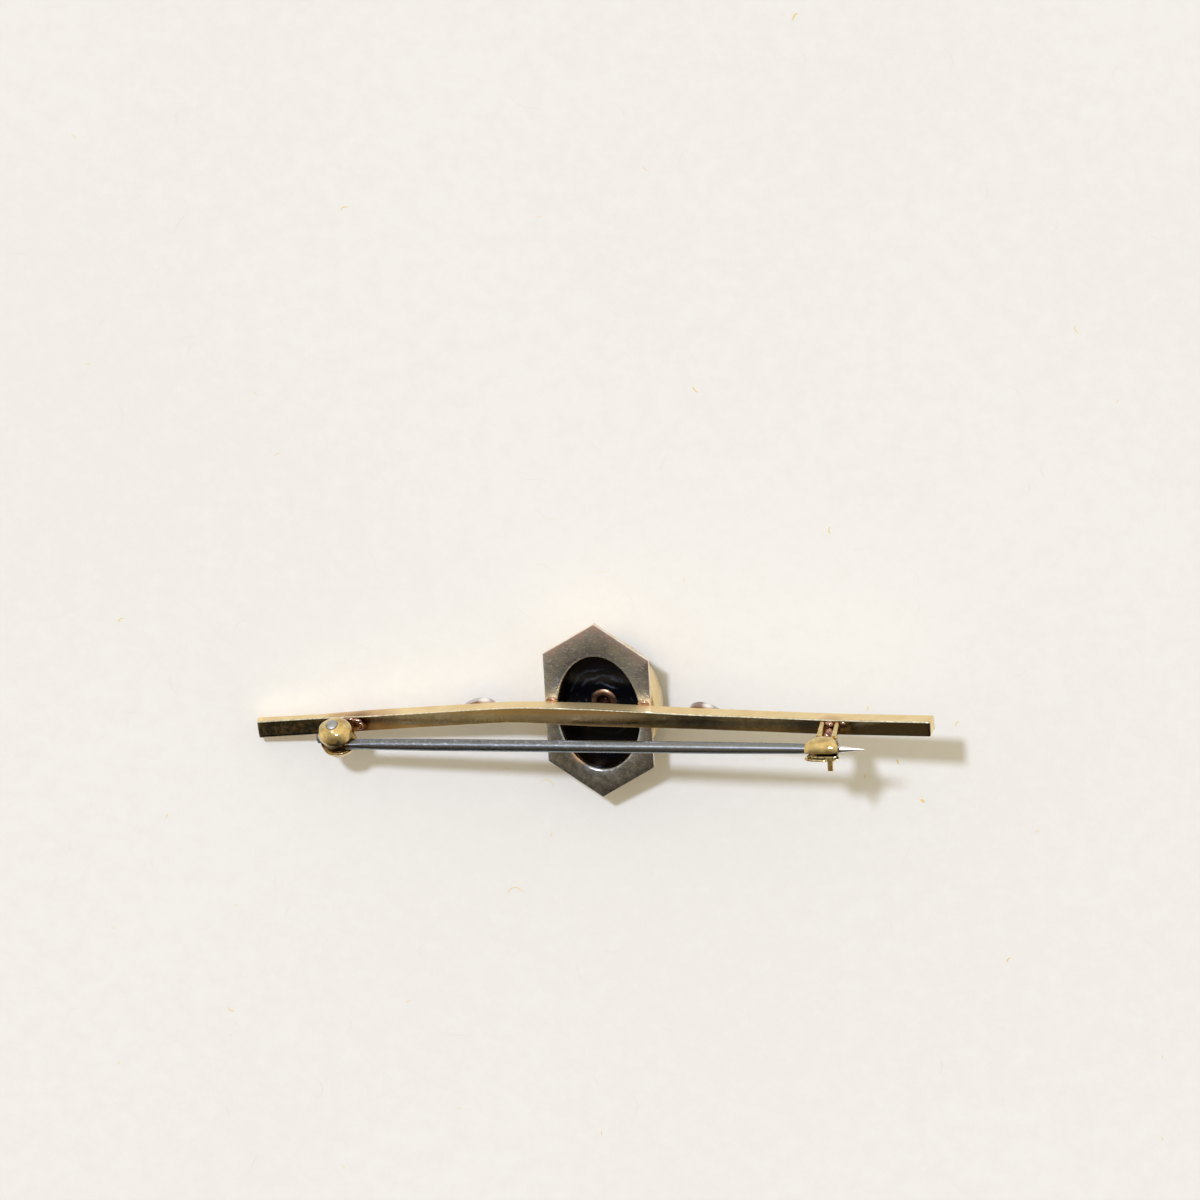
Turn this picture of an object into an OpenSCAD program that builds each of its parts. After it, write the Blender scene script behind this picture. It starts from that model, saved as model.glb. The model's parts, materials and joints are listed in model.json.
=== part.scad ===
// A bar brooch that lies on its front, so that its back, pin and catch face up.
// Every piece is drawn in the brooch's own axes: X along the bar, Y up the plaque,
// Z out of the brooch's back, with Z = 0 on the plaque's back face. The module
// at_rest() then lays the whole brooch down on the three points that it rests on.

/* [Bar] */
// Length of the bar from end to end
bar_len = 60.2; // [50:0.2:75]
// Step of the bar's middle to the left of the plaque's middle
bar_step = 0.15; // [0:0.05:1]
// Width of the bar across its back at the ends
bar_w = 1.36; // [1.1:0.02:1.8]
// Width of the bar across its back at the plaque
bar_mid_w = 1.6; // [1.3:0.05:2.2]
// Depth of the bar from back to front
bar_d = 1.5; // [1.2:0.05:2.2]
// Rise of the bar's right-hand run towards its end, in degrees
right_rise = 1.5; // [0:0.1:3]
// Bend of the bar just left of the plaque, in degrees
left_bend = 6; // [0:0.5:8]
// Distance of that bend from the plaque's middle
left_bend_x = 7.2; // [6:0.1:12]
// Bend of the bar near its right-hand end, in degrees
right_bend = 1.2; // [0:0.1:3]
// Distance of that bend from the plaque's middle
right_bend_x = 21.5; // [15:0.5:24]

/* [Plaque] */
// Width of the six-sided plaque along the bar
plaque_w = 9.4; // [8:0.1:12]
// Height of the plaque from point to point
plaque_h = 16.3; // [14:0.1:20]
// Length of the plaque's two upright edges
plaque_side = 10.1; // [7:0.1:12]
// Thickness of the plaque's sheet
plaque_t = 0.6; // [0.4:0.05:1]
// Width of the oval opening in the plaque
opening_w = 7.3; // [6:0.1:8]
// Height of the oval opening in the plaque
opening_h = 10.6; // [9:0.1:12]
// Step of the opening and the bezel from the plaque's middle towards its lower point
oval_drop = 0.25; // [0:0.05:0.4]

/* [Bezel and black stone] */
// Outer width of the oval bezel on the plaque's front
bezel_w = 9.9; // [9:0.1:11]
// Outer height of the oval bezel
bezel_h = 11.5; // [11:0.1:13]
// Thickness of the bezel's wall round the stone
bezel_wall = 0.3; // [0.2:0.05:0.45]
// Depth of the bezel's front rim below the plaque's back face
bezel_depth = 3.2; // [3:0.05:3.5]
// Thickness of the black stone
onyx_t = 0.8; // [0.6:0.05:0.95]
// Depth of the black stone's back below the plaque's back face
onyx_back = 2.1; // [1.6:0.05:2.2]

/* [Centre setting] */
// Outer diameter of the tube that passes through the black stone
tube_d = 1.7; // [1.5:0.05:2]
// Inner diameter of that tube
tube_bore = 1.18; // [1:0.02:1.3]
// Diameter of the tube's turned-over rim behind the black stone
tube_rim_d = 2.3; // [2.1:0.05:2.8]
// Thickness of that rim
tube_rim_t = 0.22; // [0.15:0.01:0.35]
// Diameter of the centre stone
centre_stone_d = 2.4; // [2:0.05:2.8]
// Depth of the centre stone's table below the plaque's back face
centre_table_depth = 3.95; // [3.7:0.05:4.4]

/* [Side settings] */
// Length of each leaf-shaped setting along the bar
leaf_len = 3.7; // [3.2:0.1:5]
// Width of each leaf-shaped setting across the bar
leaf_w = 1.75; // [1.65:0.05:2.4]
// Depth of each leaf-shaped setting in front of the bar
leaf_d = 1; // [0.8:0.05:1.4]
// Distance of the left-hand setting from the plaque's middle
left_leaf_x = 10.5; // [9:0.1:14]
// Distance of the right-hand setting from the plaque's middle
right_leaf_x = 9.6; // [9:0.1:14]
// Diameter of each side stone
side_stone_d = 1.1; // [0.9:0.05:1.3]

/* [Ball joint] */
// Distance of the joint from the plaque's middle
joint_x = 22.5; // [20:0.1:26]
// Radius of the ball's two half domes
ball_r = 1.42; // [1.3:0.02:1.6]
// Width of the slot between the two domes
slot_w = 0.9; // [0.8:0.02:1]
// Height of the rivet's axis above the bar's back
rivet_height = 2.1; // [2:0.05:2.5]
// Sideways step of the rivet's middle from the bar's middle line
rivet_step = 0.2; // [0:0.05:0.4]
// Diameter of the rivet
rivet_d = 1; // [0.8:0.05:1.1]
// Lean of the pin's swing towards the plaque's lower edge, in degrees
swing_lean = 28; // [20:1:32]

/* [Pin] */
// Length of the pin from the rivet to its point
pin_len = 47.35; // [45:0.05:55]
// Greatest diameter of the pin
pin_d = 1.05; // [0.9:0.01:1.15]
// Distance of the pin's axis from the rivet's axis
pin_offset = 0.7; // [0.6:0.02:0.8]
// Radius of the pin's flat eye
eye_r = 1.6; // [1.5:0.02:1.65]

/* [Catch] */
// Distance of the catch's middle from the plaque's middle
catch_x = 21.15; // [17:0.05:22]
// Sideways step of the catch from the bar's middle line
catch_step = 0.8; // [0.6:0.05:1]
// Length of the catch's housing
housing_len = 2.95; // [2.6:0.05:3.4]
// Outer radius of the housing
housing_r = 1.12; // [1.1:0.02:1.3]
// Thickness of the housing's wall
housing_wall = 0.24; // [0.2:0.02:0.28]
// Thickness of the rotating sleeve's wall
sleeve_wall = 0.23; // [0.2:0.01:0.26]
// Width of the housing's mouth, which the pin comes in by
mouth_w = 1.08; // [1.04:0.02:1.2]
// Thickness of each of the housing's two legs
leg_t = 0.35; // [0.25:0.05:0.4]
// Distance between the middles of the two legs
leg_pitch = 1.32; // [1.2:0.05:1.6]
// Distance of the legs' middle from the housing's middle, towards the plaque
leg_back = 0.5; // [0:0.05:0.7]
// Width of the sleeve's thumb tab along the pin
tab_w = 0.49; // [0.4:0.01:0.55]
// Thickness of the thumb tab
tab_t = 0.26; // [0.2:0.02:0.32]
// Distance of the thumb tab's tip from the pin's axis
tab_reach = 1.95; // [1.7:0.05:2.15]
// Turn of the sleeve from open to shut, in degrees
sleeve_turn = 70; // [60:1:75]

/* [Fits] */
// Gap between pieces that are set into each other
set_gap = 0.03; // [0.02:0.01:0.05]
// Gap round the rivet in the pin's eye, and round the sleeve in its housing
run_gap = 0.05; // [0.03:0.01:0.08]

/* [Hidden] */

$fn = 48;
eps = 0.01;

// The bar's middle line: straight runs with a soft bend between them
bend_soft = 2;
bar_steps = 30;
swell_len = 9;
function soft(u) =
    u < -bend_soft ? 0 : u > bend_soft ? u : pow(u + bend_soft, 2) / (4 * bend_soft);
function bar_y(x) =
    x * tan(right_rise)
    - tan(left_bend) * soft(-left_bend_x - x)
    + tan(right_bend) * soft(x - right_bend_x);
function bar_half(x) =
    bar_w / 2 + (bar_mid_w - bar_w) / 2 * max(0, 1 - abs(x) / swell_len);
bar_left = -bar_step - bar_len / 2;
bar_right = -bar_step + bar_len / 2;
function bar_station(i) = bar_left + i * bar_len / bar_steps;

// An oval outline with its corners on the ellipse
oval_n = 64;
function oval(w, h) =
    [for (i = [0 : oval_n - 1]) [w / 2 * cos(360 * i / oval_n), h / 2 * sin(360 * i / oval_n)]];

// Depths, all below the plaque's back face
onyx_front = onyx_back + onyx_t;
onyx_chamfer = 0.2;
tube_back = onyx_back - tube_rim_t - set_gap;

// The centre stone and its cup
centre_table_share = 0.5;
centre_crown_h = 0.17 * centre_stone_d;
centre_girdle_h = 0.03 * centre_stone_d;
centre_pavilion_h = 0.4 * centre_stone_d;
centre_girdle_z = centre_table_depth - centre_crown_h;
cup_wall = 0.2;
cup_shoulder = 0.4;
cup_shoulder_h = 0.35;
cup_r = centre_stone_d / 2 + set_gap + cup_wall;
cup_rim_z = centre_girdle_z + centre_crown_h / 3;
cup_base_z = onyx_front + set_gap;

// The side stones stand in round seats in the leaves
side_table_share = 0.5;
side_crown_h = 0.18 * side_stone_d;
side_girdle_h = 0.05 * side_stone_d;
side_pavilion_h = 0.35 * side_stone_d;
side_seat_d = side_stone_d + 2 * set_gap;
side_seat_h = side_pavilion_h + side_girdle_h + 2 * set_gap;

// The pin's own frame: origin on the pin's axis beside the rivet, X along the pin,
// Z the way the pin swings out
rivet_z = bar_d + rivet_height;
rivet_y = bar_y(-joint_x) - rivet_step;
stem_z = rivet_z + pin_offset * cos(swing_lean);
stem_y = rivet_y - pin_offset * sin(swing_lean);
catch_y = bar_y(catch_x) - catch_step;
pin_turn = atan2(catch_y - stem_y, catch_x + joint_x);
catch_along = norm([catch_x + joint_x, catch_y - stem_y]);

// The ball joint
eye_t = slot_w - 2 * run_gap;
eye_room_r = eye_r + 2 * run_gap;
ball_neck_r = 0.85;
foot_reach = bar_w;
foot_h = 0.5;
rivet_proud = 0.06;
rivet_half = slot_w / 2 + ball_r + rivet_proud;

// The pin's outline: share of its length, share of its greatest diameter
root_len = 2.2;
stem_start = 1.5;
PIN_ROWS = [
    [0.00, 0.76], [0.05, 0.90], [0.16, 1.00], [0.72, 1.00],
    [0.86, 0.86], [0.94, 0.72], [0.985, 0.30], [1.00, 0.05]
];
AT_LEN = 0;
AT_DIA = 1;

// The catch
sleeve_r = housing_r - housing_wall - run_gap;
sleeve_in_r = sleeve_r - sleeve_wall;
lip_len = 0.3;
lip_r = sleeve_in_r;
sleeve_len = housing_len - 2 * lip_len - 2 * run_gap;
tab_x = 0.8;
tab_slot_w = tab_w + 4 * run_gap;
tab_angle = 52;
tab_slot_margin = 12;
leg_top_angle = 15;
leg_side = 0.45;
leg_edge = 0.08;
leg_lean = 0.3;
mouth_step = 0.1;
sleeve_mouth_w = mouth_w - mouth_step;

// The solder in the corners where the bar crosses the plaque
solder_r = 0.5;
solder_h = 0.9;

// Where the brooch touches the table: the bar's left end, the centre stone's
// table, and the bezel's front rim below the middle
function unit(v) = v / norm(v);
function up_normal(a, b, c) = let (n = unit(cross(b - a, c - a))) n[2] < 0 ? -n : n;
touch_end = [bar_left, bar_y(bar_left) - bar_half(bar_left), -eps];
table_r = centre_table_share * centre_stone_d / 2;
touch_stone = [table_r * cos(225), table_r * sin(225), -centre_table_depth];
rim = [for (p = oval(bezel_w, bezel_h)) [p[0], p[1] - oval_drop, -bezel_depth]];
function lowest(points, n) =
    let (heights = [for (p = points) p * n]) points[search(min(heights), heights)[0]];
first_normal = up_normal(touch_end, touch_stone, [0, -bezel_h / 2 - oval_drop, -bezel_depth]);
touch_rim = lowest(rim, first_normal);
rest_normal = up_normal(touch_end, touch_stone, touch_rim);
tip_x = atan2(rest_normal[1], rest_normal[2]);
tip_y = -atan2(rest_normal[0], norm([rest_normal[1], rest_normal[2]]));
rest_lift = -(touch_stone * rest_normal);

// The middle of the laid brooch's outline, seen from above
function laid_x(p) =
    p[0] * cos(tip_y) + (p[1] * sin(tip_x) + p[2] * cos(tip_x)) * sin(tip_y);
function laid_y(p) = p[1] * cos(tip_x) - p[2] * sin(tip_x);
end_left = [bar_left, 0, bar_d];
end_right = [bar_right, 0, 0];
rest_mid_x = (laid_x(end_left) + laid_x(end_right)) / 2;
rest_mid_y = (laid_y([0, plaque_h / 2, -plaque_t]) + laid_y([0, -plaque_h / 2, 0])) / 2;

// Lays the brooch on the table, with the middle of its outline over the origin
module at_rest() {
    translate([-rest_mid_x, -rest_mid_y, rest_lift])
        rotate([tip_x, tip_y, 0])
            children();
}

// Places children in the pin's own frame
module on_pin() {
    translate([-joint_x, stem_y, stem_z])
        rotate([swing_lean, 0, pin_turn])
            children();
}

// Extrudes an outline from one depth below the plaque's back face to another
module between(back, front) {
    translate([0, 0, -front])
        linear_extrude(front - back)
            children();
}

// The oval outline in its place on the plaque
module lowered_oval(w, h) {
    translate([0, -oval_drop])
        polygon(oval(w, h));
}

// A cylinder along the pin
module along_pin(r, from, to) {
    translate([from, 0, 0])
        rotate([0, 90, 0])
            cylinder(r = r, h = to - from);
}

module bar() {
    upper = [for (i = [0 : bar_steps]) let (x = bar_station(i)) [x, bar_y(x) + bar_half(x)]];
    lower = [
        for (i = [bar_steps : -1 : 0])
            let (x = bar_station(i)) [x, bar_y(x) - bar_half(x)]
    ];
    translate([0, 0, -eps])
        linear_extrude(bar_d + eps)
            polygon(concat(upper, lower));
}

module plaque() {
    between(0, plaque_t)
        difference() {
            polygon([
                [0, plaque_h / 2], [-plaque_w / 2, plaque_side / 2],
                [-plaque_w / 2, -plaque_side / 2], [0, -plaque_h / 2],
                [plaque_w / 2, -plaque_side / 2], [plaque_w / 2, plaque_side / 2]
            ]);
            lowered_oval(opening_w, opening_h);
        }
}

module bezel() {
    between(plaque_t - eps, onyx_back - set_gap)
        difference() {
            lowered_oval(bezel_w, bezel_h);
            lowered_oval(opening_w, opening_h);
        }
    between(onyx_back - set_gap - eps, bezel_depth)
        difference() {
            lowered_oval(bezel_w, bezel_h);
            lowered_oval(bezel_w - 2 * bezel_wall, bezel_h - 2 * bezel_wall);
        }
}

// A leaf outline: the shape that two equal circles share
module leaf_outline() {
    leaf_r = (pow(leaf_len / 2, 2) + pow(leaf_w / 2, 2)) / leaf_w;
    intersection() {
        translate([0, leaf_r - leaf_w / 2])
            circle(leaf_r, $fn = 96);
        translate([0, leaf_w / 2 - leaf_r])
            circle(leaf_r, $fn = 96);
    }
}

module leaf_collet(x) {
    translate([x, bar_y(x), 0])
        difference() {
            between(-eps, leaf_d)
                leaf_outline();
            translate([0, 0, -leaf_d - eps])
                cylinder(d = side_seat_d, h = side_seat_h + eps);
        }
}

module solder() {
    for (side = [-1, 1], above = [-1, 1])
        let (x = side * (plaque_w + opening_w) / 4)
            translate([x, bar_y(x) + above * bar_half(x), -2 * eps])
                cylinder(r1 = solder_r, r2 = solder_r / 3, h = solder_h, $fn = 24);
}

// One half dome of the ball joint, on the side that the sign gives
module dome(side) {
    translate([0, side * slot_w / 2, 0])
        intersection() {
            sphere(ball_r);
            translate([-ball_r, side > 0 ? 0 : -ball_r, -ball_r])
                cube([2 * ball_r, ball_r, 2 * ball_r]);
        }
}

module ball_joint() {
    difference() {
        on_pin()
            translate([0, 0, -pin_offset])
                difference() {
                    union() {
                        dome(1);
                        dome(-1);
                        translate([0, 0, -2 * rivet_height])
                            cylinder(r = ball_neck_r, h = 2 * rivet_height);
                    }
                    rotate([90, 0, 0])
                        cylinder(r = eye_room_r, h = slot_w, center = true);
                    translate([-2 * ball_r, -slot_w / 2, 0])
                        cube([4 * ball_r, slot_w, 2 * ball_r]);
                    rotate([90, 0, 0])
                        cylinder(d = rivet_d + 2 * set_gap, h = 4 * ball_r, center = true);
                }
        translate([-joint_x - 3 * ball_r, bar_y(-joint_x) - 3 * ball_r, bar_d - eps - 6 * ball_r])
            cube(6 * ball_r);
        translate([-joint_x - 3 * ball_r, bar_y(-joint_x) + foot_reach, bar_d - 6 * ball_r])
            cube([6 * ball_r, 6 * ball_r, 6 * ball_r + foot_h]);
    }
}

// The cut that opens a tube towards Z, as wide as the mouth
module mouth_cut(w, len) {
    translate([-len / 2, -w / 2, 0])
        cube([len, w, 2 * housing_r]);
}

module tab_slot() {
    first = 0;
    last = tab_angle + sleeve_turn + tab_slot_margin;
    reach = 2 * housing_r;
    turns = [for (i = [0 : 6]) first + i * (last - first) / 6];
    translate([tab_x - tab_slot_w / 2, 0, 0])
        rotate([90, 0, 90])
            linear_extrude(tab_slot_w)
                polygon(concat([[0, 0]], [for (a = turns) reach * [-sin(a), cos(a)]]));
}

// A leg stands on the bar and carries the housing from below
module catch_leg(x) {
    y = bar_y(x);
    top = housing_r * cos(leg_top_angle);
    translate([x - leg_t / 2, 0, 0])
        rotate([90, 0, 90])
            linear_extrude(leg_t)
                polygon([
                    [y - bar_half(x) + leg_edge, bar_d - eps],
                    [y + bar_half(x) - leg_edge, bar_d - eps],
                    [catch_y + leg_lean + leg_side, stem_z - top],
                    [catch_y + leg_lean - leg_side, stem_z - top]
                ]);
}

module catch_housing() {
    difference() {
        union() {
            on_pin()
                along_pin(housing_r, catch_along - housing_len / 2, catch_along + housing_len / 2);
            for (side = [-1, 1])
                catch_leg(catch_x - leg_back + side * leg_pitch / 2);
        }
        on_pin()
            translate([catch_along, 0, 0]) {
                along_pin(
                    housing_r - housing_wall,
                    lip_len - housing_len / 2,
                    housing_len / 2 - lip_len
                );
                along_pin(lip_r, -housing_len, housing_len);
                mouth_cut(mouth_w, 2 * housing_len);
                tab_slot();
            }
    }
}

// Everything that is soldered together on the real brooch is one solid
module frame() {
    color("goldenrod")
        at_rest() {
            bar();
            bezel();
            solder();
            ball_joint();
            catch_housing();
        }
    color("silver")
        at_rest() {
            plaque();
            leaf_collet(-left_leaf_x);
            leaf_collet(right_leaf_x);
        }
}

module onyx() {
    w = bezel_w - 2 * bezel_wall - 2 * set_gap;
    h = bezel_h - 2 * bezel_wall - 2 * set_gap;
    color([0.05, 0.05, 0.07])
        at_rest()
            difference() {
                union() {
                    between(onyx_back, onyx_front - onyx_chamfer)
                        lowered_oval(w, h);
                    between(onyx_front - onyx_chamfer - eps, onyx_front)
                        lowered_oval(w - 2 * onyx_chamfer, h - 2 * onyx_chamfer);
                }
                translate([0, 0, -onyx_front - onyx_t])
                    cylinder(d = tube_d + 2 * set_gap, h = 3 * onyx_t);
            }
}

// The tube, its turned-over rim and the cup in front, as one turned piece
module centre_collet() {
    bore_r = tube_bore / 2;
    seat_r = centre_stone_d / 2 + set_gap;
    color("peru")
        at_rest()
            rotate_extrude()
                polygon([
                    [bore_r, -tube_back], [tube_rim_d / 2, -tube_back],
                    [tube_rim_d / 2, -tube_back - tube_rim_t],
                    [tube_d / 2, -tube_back - tube_rim_t],
                    [tube_d / 2, -cup_base_z], [cup_r - cup_shoulder, -cup_base_z],
                    [cup_r, -cup_base_z - cup_shoulder_h], [cup_r, -cup_rim_z], [seat_r, -cup_rim_z],
                    [seat_r, -centre_girdle_z + centre_girdle_h],
                    [bore_r, -centre_girdle_z + centre_girdle_h + centre_pavilion_h / 2]
                ]);
}

// A round cut stone: table, 24 crown facets, girdle and 16 pavilion facets.
// Its table faces -Z and its girdle's front edge lies at Z = 0.
module cut_stone(d, table_share, crown_h, girdle_h, pavilion_h) {
    table = [for (i = [0 : 7]) let (a = 45 * i)
        [table_share * d / 2 * cos(a), table_share * d / 2 * sin(a), -crown_h]];
    front = [for (i = [0 : 15]) let (a = 22.5 * i) [d / 2 * cos(a), d / 2 * sin(a), 0]];
    back = [for (p = front) p + [0, 0, girdle_h]];
    culet = [[0, 0, girdle_h + pavilion_h]];
    F = 8;
    B = 24;
    C = 40;
    faces = concat(
        [[for (i = [0 : 7]) i]],
        [for (i = [0 : 7]) [i, F + (2 * i + 15) % 16, F + 2 * i]],
        [for (i = [0 : 7]) [i, F + 2 * i, F + 2 * i + 1]],
        [for (i = [0 : 7]) [i, F + 2 * i + 1, (i + 1) % 8]],
        [for (i = [0 : 15]) [F + i, B + i, B + (i + 1) % 16, F + (i + 1) % 16]],
        [for (i = [0 : 15]) [B + i, C, B + (i + 1) % 16]]
    );
    polyhedron(concat(table, front, back, culet), faces);
}

module centre_stone() {
    color("azure")
        at_rest()
            translate([0, 0, -centre_girdle_z])
                cut_stone(
                    centre_stone_d, centre_table_share,
                    centre_crown_h, centre_girdle_h, centre_pavilion_h
                );
}

module side_stone(x) {
    color("azure")
        at_rest()
            translate([x, bar_y(x), -leaf_d])
                cut_stone(
                    side_stone_d, side_table_share, side_crown_h, side_girdle_h, side_pavilion_h
                );
}

module left_side_stone() { side_stone(-left_leaf_x); }

module right_side_stone() { side_stone(right_leaf_x); }

module pin_stem() {
    stem_len = pin_len - stem_start;
    outline = concat(
        [[0, 0]],
        [for (row = PIN_ROWS) [row[AT_DIA] * pin_d / 2, row[AT_LEN] * stem_len]],
        [[0, stem_len]]
    );
    color("slategray")
        at_rest()
            on_pin()
                difference() {
                    union() {
                        translate([stem_start, 0, 0])
                            rotate([0, 90, 0])
                                rotate_extrude()
                                    polygon(outline);
                        translate([0, -eye_t / 2, -0.4 * pin_d])
                            cube([root_len, eye_t, 0.8 * pin_d]);
                        translate([0, 0, -pin_offset])
                            rotate([90, 0, 0])
                                cylinder(r = eye_r, h = eye_t, center = true);
                    }
                    translate([0, 0, -pin_offset])
                        rotate([90, 0, 0])
                            cylinder(d = rivet_d + 2 * run_gap, h = 2 * slot_w, center = true);
                }
}

module hinge_rivet() {
    color("lightgray")
        at_rest()
            on_pin()
                translate([0, 0, -pin_offset])
                    rotate([90, 0, 0])
                        cylinder(d = rivet_d, h = 2 * rivet_half, center = true);
}

module catch_sleeve() {
    color("gold")
        at_rest()
            on_pin()
                translate([catch_along, 0, 0])
                    difference() {
                        union() {
                            along_pin(sleeve_r, -sleeve_len / 2, sleeve_len / 2);
                            rotate([tab_angle, 0, 0])
                                translate([tab_x - tab_w / 2, -tab_t / 2, sleeve_in_r + eps])
                                    cube([tab_w, tab_t, tab_reach - sleeve_in_r - eps]);
                        }
                        along_pin(sleeve_in_r, -housing_len, housing_len);
                        mouth_cut(sleeve_mouth_w, 2 * housing_len);
                    }
}

frame();
onyx();
centre_collet();
centre_stone();
left_side_stone();
right_side_stone();
pin_stem();
hinge_rivet();
catch_sleeve();
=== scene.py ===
"""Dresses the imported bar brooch, which lies on its front with its pin and catch facing up.

Pieces are drawn in the brooch's own axes, in millimetres, as in the part's source: X along the bar, Y up
the plaque, Z out of the brooch's back. The matrices REST, PIN, RIVET and CATCH lay them in the world, in
metres.
"""

import json
import math
import random

import bmesh
import bpy
from mathutils import Matrix, Vector, noise


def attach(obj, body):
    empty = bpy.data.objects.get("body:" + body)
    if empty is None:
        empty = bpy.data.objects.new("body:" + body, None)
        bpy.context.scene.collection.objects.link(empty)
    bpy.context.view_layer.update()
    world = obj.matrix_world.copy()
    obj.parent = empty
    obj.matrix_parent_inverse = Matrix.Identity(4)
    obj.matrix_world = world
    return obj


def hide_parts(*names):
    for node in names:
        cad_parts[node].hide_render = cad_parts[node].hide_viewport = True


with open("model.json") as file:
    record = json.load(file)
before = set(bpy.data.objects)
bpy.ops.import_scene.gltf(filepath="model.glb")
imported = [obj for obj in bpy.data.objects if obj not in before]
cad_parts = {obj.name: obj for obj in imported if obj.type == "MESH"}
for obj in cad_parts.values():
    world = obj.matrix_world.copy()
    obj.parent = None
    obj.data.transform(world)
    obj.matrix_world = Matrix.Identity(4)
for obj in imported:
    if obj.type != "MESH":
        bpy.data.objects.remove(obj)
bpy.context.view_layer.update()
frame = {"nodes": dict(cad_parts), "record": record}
MM = 0.001

# The bar, as in the source
BAR_LEN = 60.2
BAR_STEP = 0.15
BAR_W = 1.36
BAR_MID_W = 1.6
BAR_D = 1.5
RIGHT_RISE = math.radians(1.5)
LEFT_BEND = math.radians(6)
LEFT_BEND_X = 7.2
RIGHT_BEND = math.radians(1.2)
RIGHT_BEND_X = 21.5
BEND_SOFT = 2
SWELL_LEN = 9

# The plaque, its bezel and the black stone
PLAQUE_W = 9.4
PLAQUE_H = 16.3
PLAQUE_SIDE = 10.1
PLAQUE_T = 0.6
OPENING_W = 7.3
OPENING_H = 10.6
OVAL_DROP = 0.25
BEZEL_W = 9.9
BEZEL_H = 11.5
BEZEL_WALL = 0.3
BEZEL_DEPTH = 3.2
ONYX_T = 0.8
ONYX_BACK = 2.1
SET_GAP = 0.03

# The tube and cup of the centre setting
TUBE_D = 1.7
TUBE_BORE = 1.2
TUBE_RIM_D = 2.3
TUBE_RIM_T = 0.22
CENTRE_STONE_D = 2.4
CENTRE_TABLE_DEPTH = 3.95

# The leaf settings
LEAF_LEN = 3.1
LEAF_W = 1.6
LEAF_D = 1
LEFT_LEAF_X = -10.7
RIGHT_LEAF_X = 9.35
SIDE_STONE_D = 1.1

# The ball joint and the pin
JOINT_X = 22.5
BALL_R = 1.42
SLOT_W = 0.9
RIVET_HEIGHT = 2.1
RIVET_STEP = 0.2
RIVET_D = 1
SWING_LEAN = math.radians(28)
PIN_LEN = 47.35
PIN_D = 1.05
PIN_OFFSET = 0.7
EYE_T = 0.8
STEM_START = 1.5

# The catch
CATCH_X = 21.15
CATCH_STEP = 0.8
HOUSING_LEN = 2.95
HOUSING_R = 1.12
HOUSING_WALL = 0.24
SLEEVE_R = 0.83
SLEEVE_WALL = 0.23
SLEEVE_LEN = 2.25
MOUTH_W = 1.08
LEG_PITCH = 1.32
LEG_BACK = 0.15
TAB_W = 0.49
TAB_T = 0.26
TAB_REACH = 1.95
TAB_X = 0.5
TAB_ANGLE = 52
TAB_LAST_ANGLE = 134

# Where the bar_back mount stands on the bar
BACK_MOUNT = (14, 0.36)

# The photograph: its width in pixels, its scale at the brooch, the point in its middle, in millimetres, the
# angles that it looks from, and the camera's distance in metres
PHOTO_PX = 1200
PX_PER_MM = 11.637
VIEW_CENTRE = Vector((0.034, 8.673, 0))
VIEW_ELEVATION = math.radians(69.31)
VIEW_AZIMUTH = math.radians(155.73)
VIEW_ROLL = math.radians(1.53)
VIEW_DISTANCE = 4

random.seed(7)


def soft(u):
    """Nought below a bend, u beyond it, with a soft turn between."""
    if u < -BEND_SOFT:
        return 0
    return u if u > BEND_SOFT else (u + BEND_SOFT) ** 2 / (4 * BEND_SOFT)


def bar_y(x):
    """The bar's middle line."""
    return (
        x * math.tan(RIGHT_RISE)
        - math.tan(LEFT_BEND) * soft(-LEFT_BEND_X - x)
        + math.tan(RIGHT_BEND) * soft(x - RIGHT_BEND_X)
    )


def bar_half(x):
    return BAR_W / 2 + (BAR_MID_W - BAR_W) / 2 * max(0, 1 - abs(x) / SWELL_LEN)


def rest_matrix():
    """From the brooch's own axes to the world: the bar's back face gives the tilt and the place."""
    back = next(m for m in frame["record"]["mounts"] if m["name"] == "bar_back")
    axis = Vector(back["axis"])
    tip_x = math.asin(-axis.y)
    tip_y = math.atan2(axis.x, axis.z)
    turn = Matrix.Rotation(tip_y, 4, "Y") @ Matrix.Rotation(tip_x, 4, "X")
    point = Vector((*BACK_MOUNT, BAR_D))
    return Matrix.Translation(Vector(back["pos_m"]) - MM * (turn @ point)) @ turn @ Matrix.Scale(MM, 4)


RIVET_Z = BAR_D + RIVET_HEIGHT
RIVET_Y = bar_y(-JOINT_X) - RIVET_STEP
STEM_Z = RIVET_Z + PIN_OFFSET * math.cos(SWING_LEAN)
STEM_Y = RIVET_Y - PIN_OFFSET * math.sin(SWING_LEAN)
CATCH_Y = bar_y(CATCH_X) - CATCH_STEP
PIN_TURN = math.atan2(CATCH_Y - STEM_Y, CATCH_X + JOINT_X)
CATCH_ALONG = math.hypot(CATCH_X + JOINT_X, CATCH_Y - STEM_Y)

REST = rest_matrix()
PIN_HOME = (
    Matrix.Translation((-JOINT_X, STEM_Y, STEM_Z))
    @ Matrix.Rotation(PIN_TURN, 4, "Z")
    @ Matrix.Rotation(SWING_LEAN, 4, "X")
)
PIN = REST @ PIN_HOME
RIVET = PIN @ Matrix.Translation((0, 0, -PIN_OFFSET))
CATCH = PIN @ Matrix.Translation((CATCH_ALONG, 0, 0))


# Mesh code


def smoothstep(low, high, x):
    t = min(1, max(0, (x - low) / (high - low)))
    return t * t * (3 - 2 * t)


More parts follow.
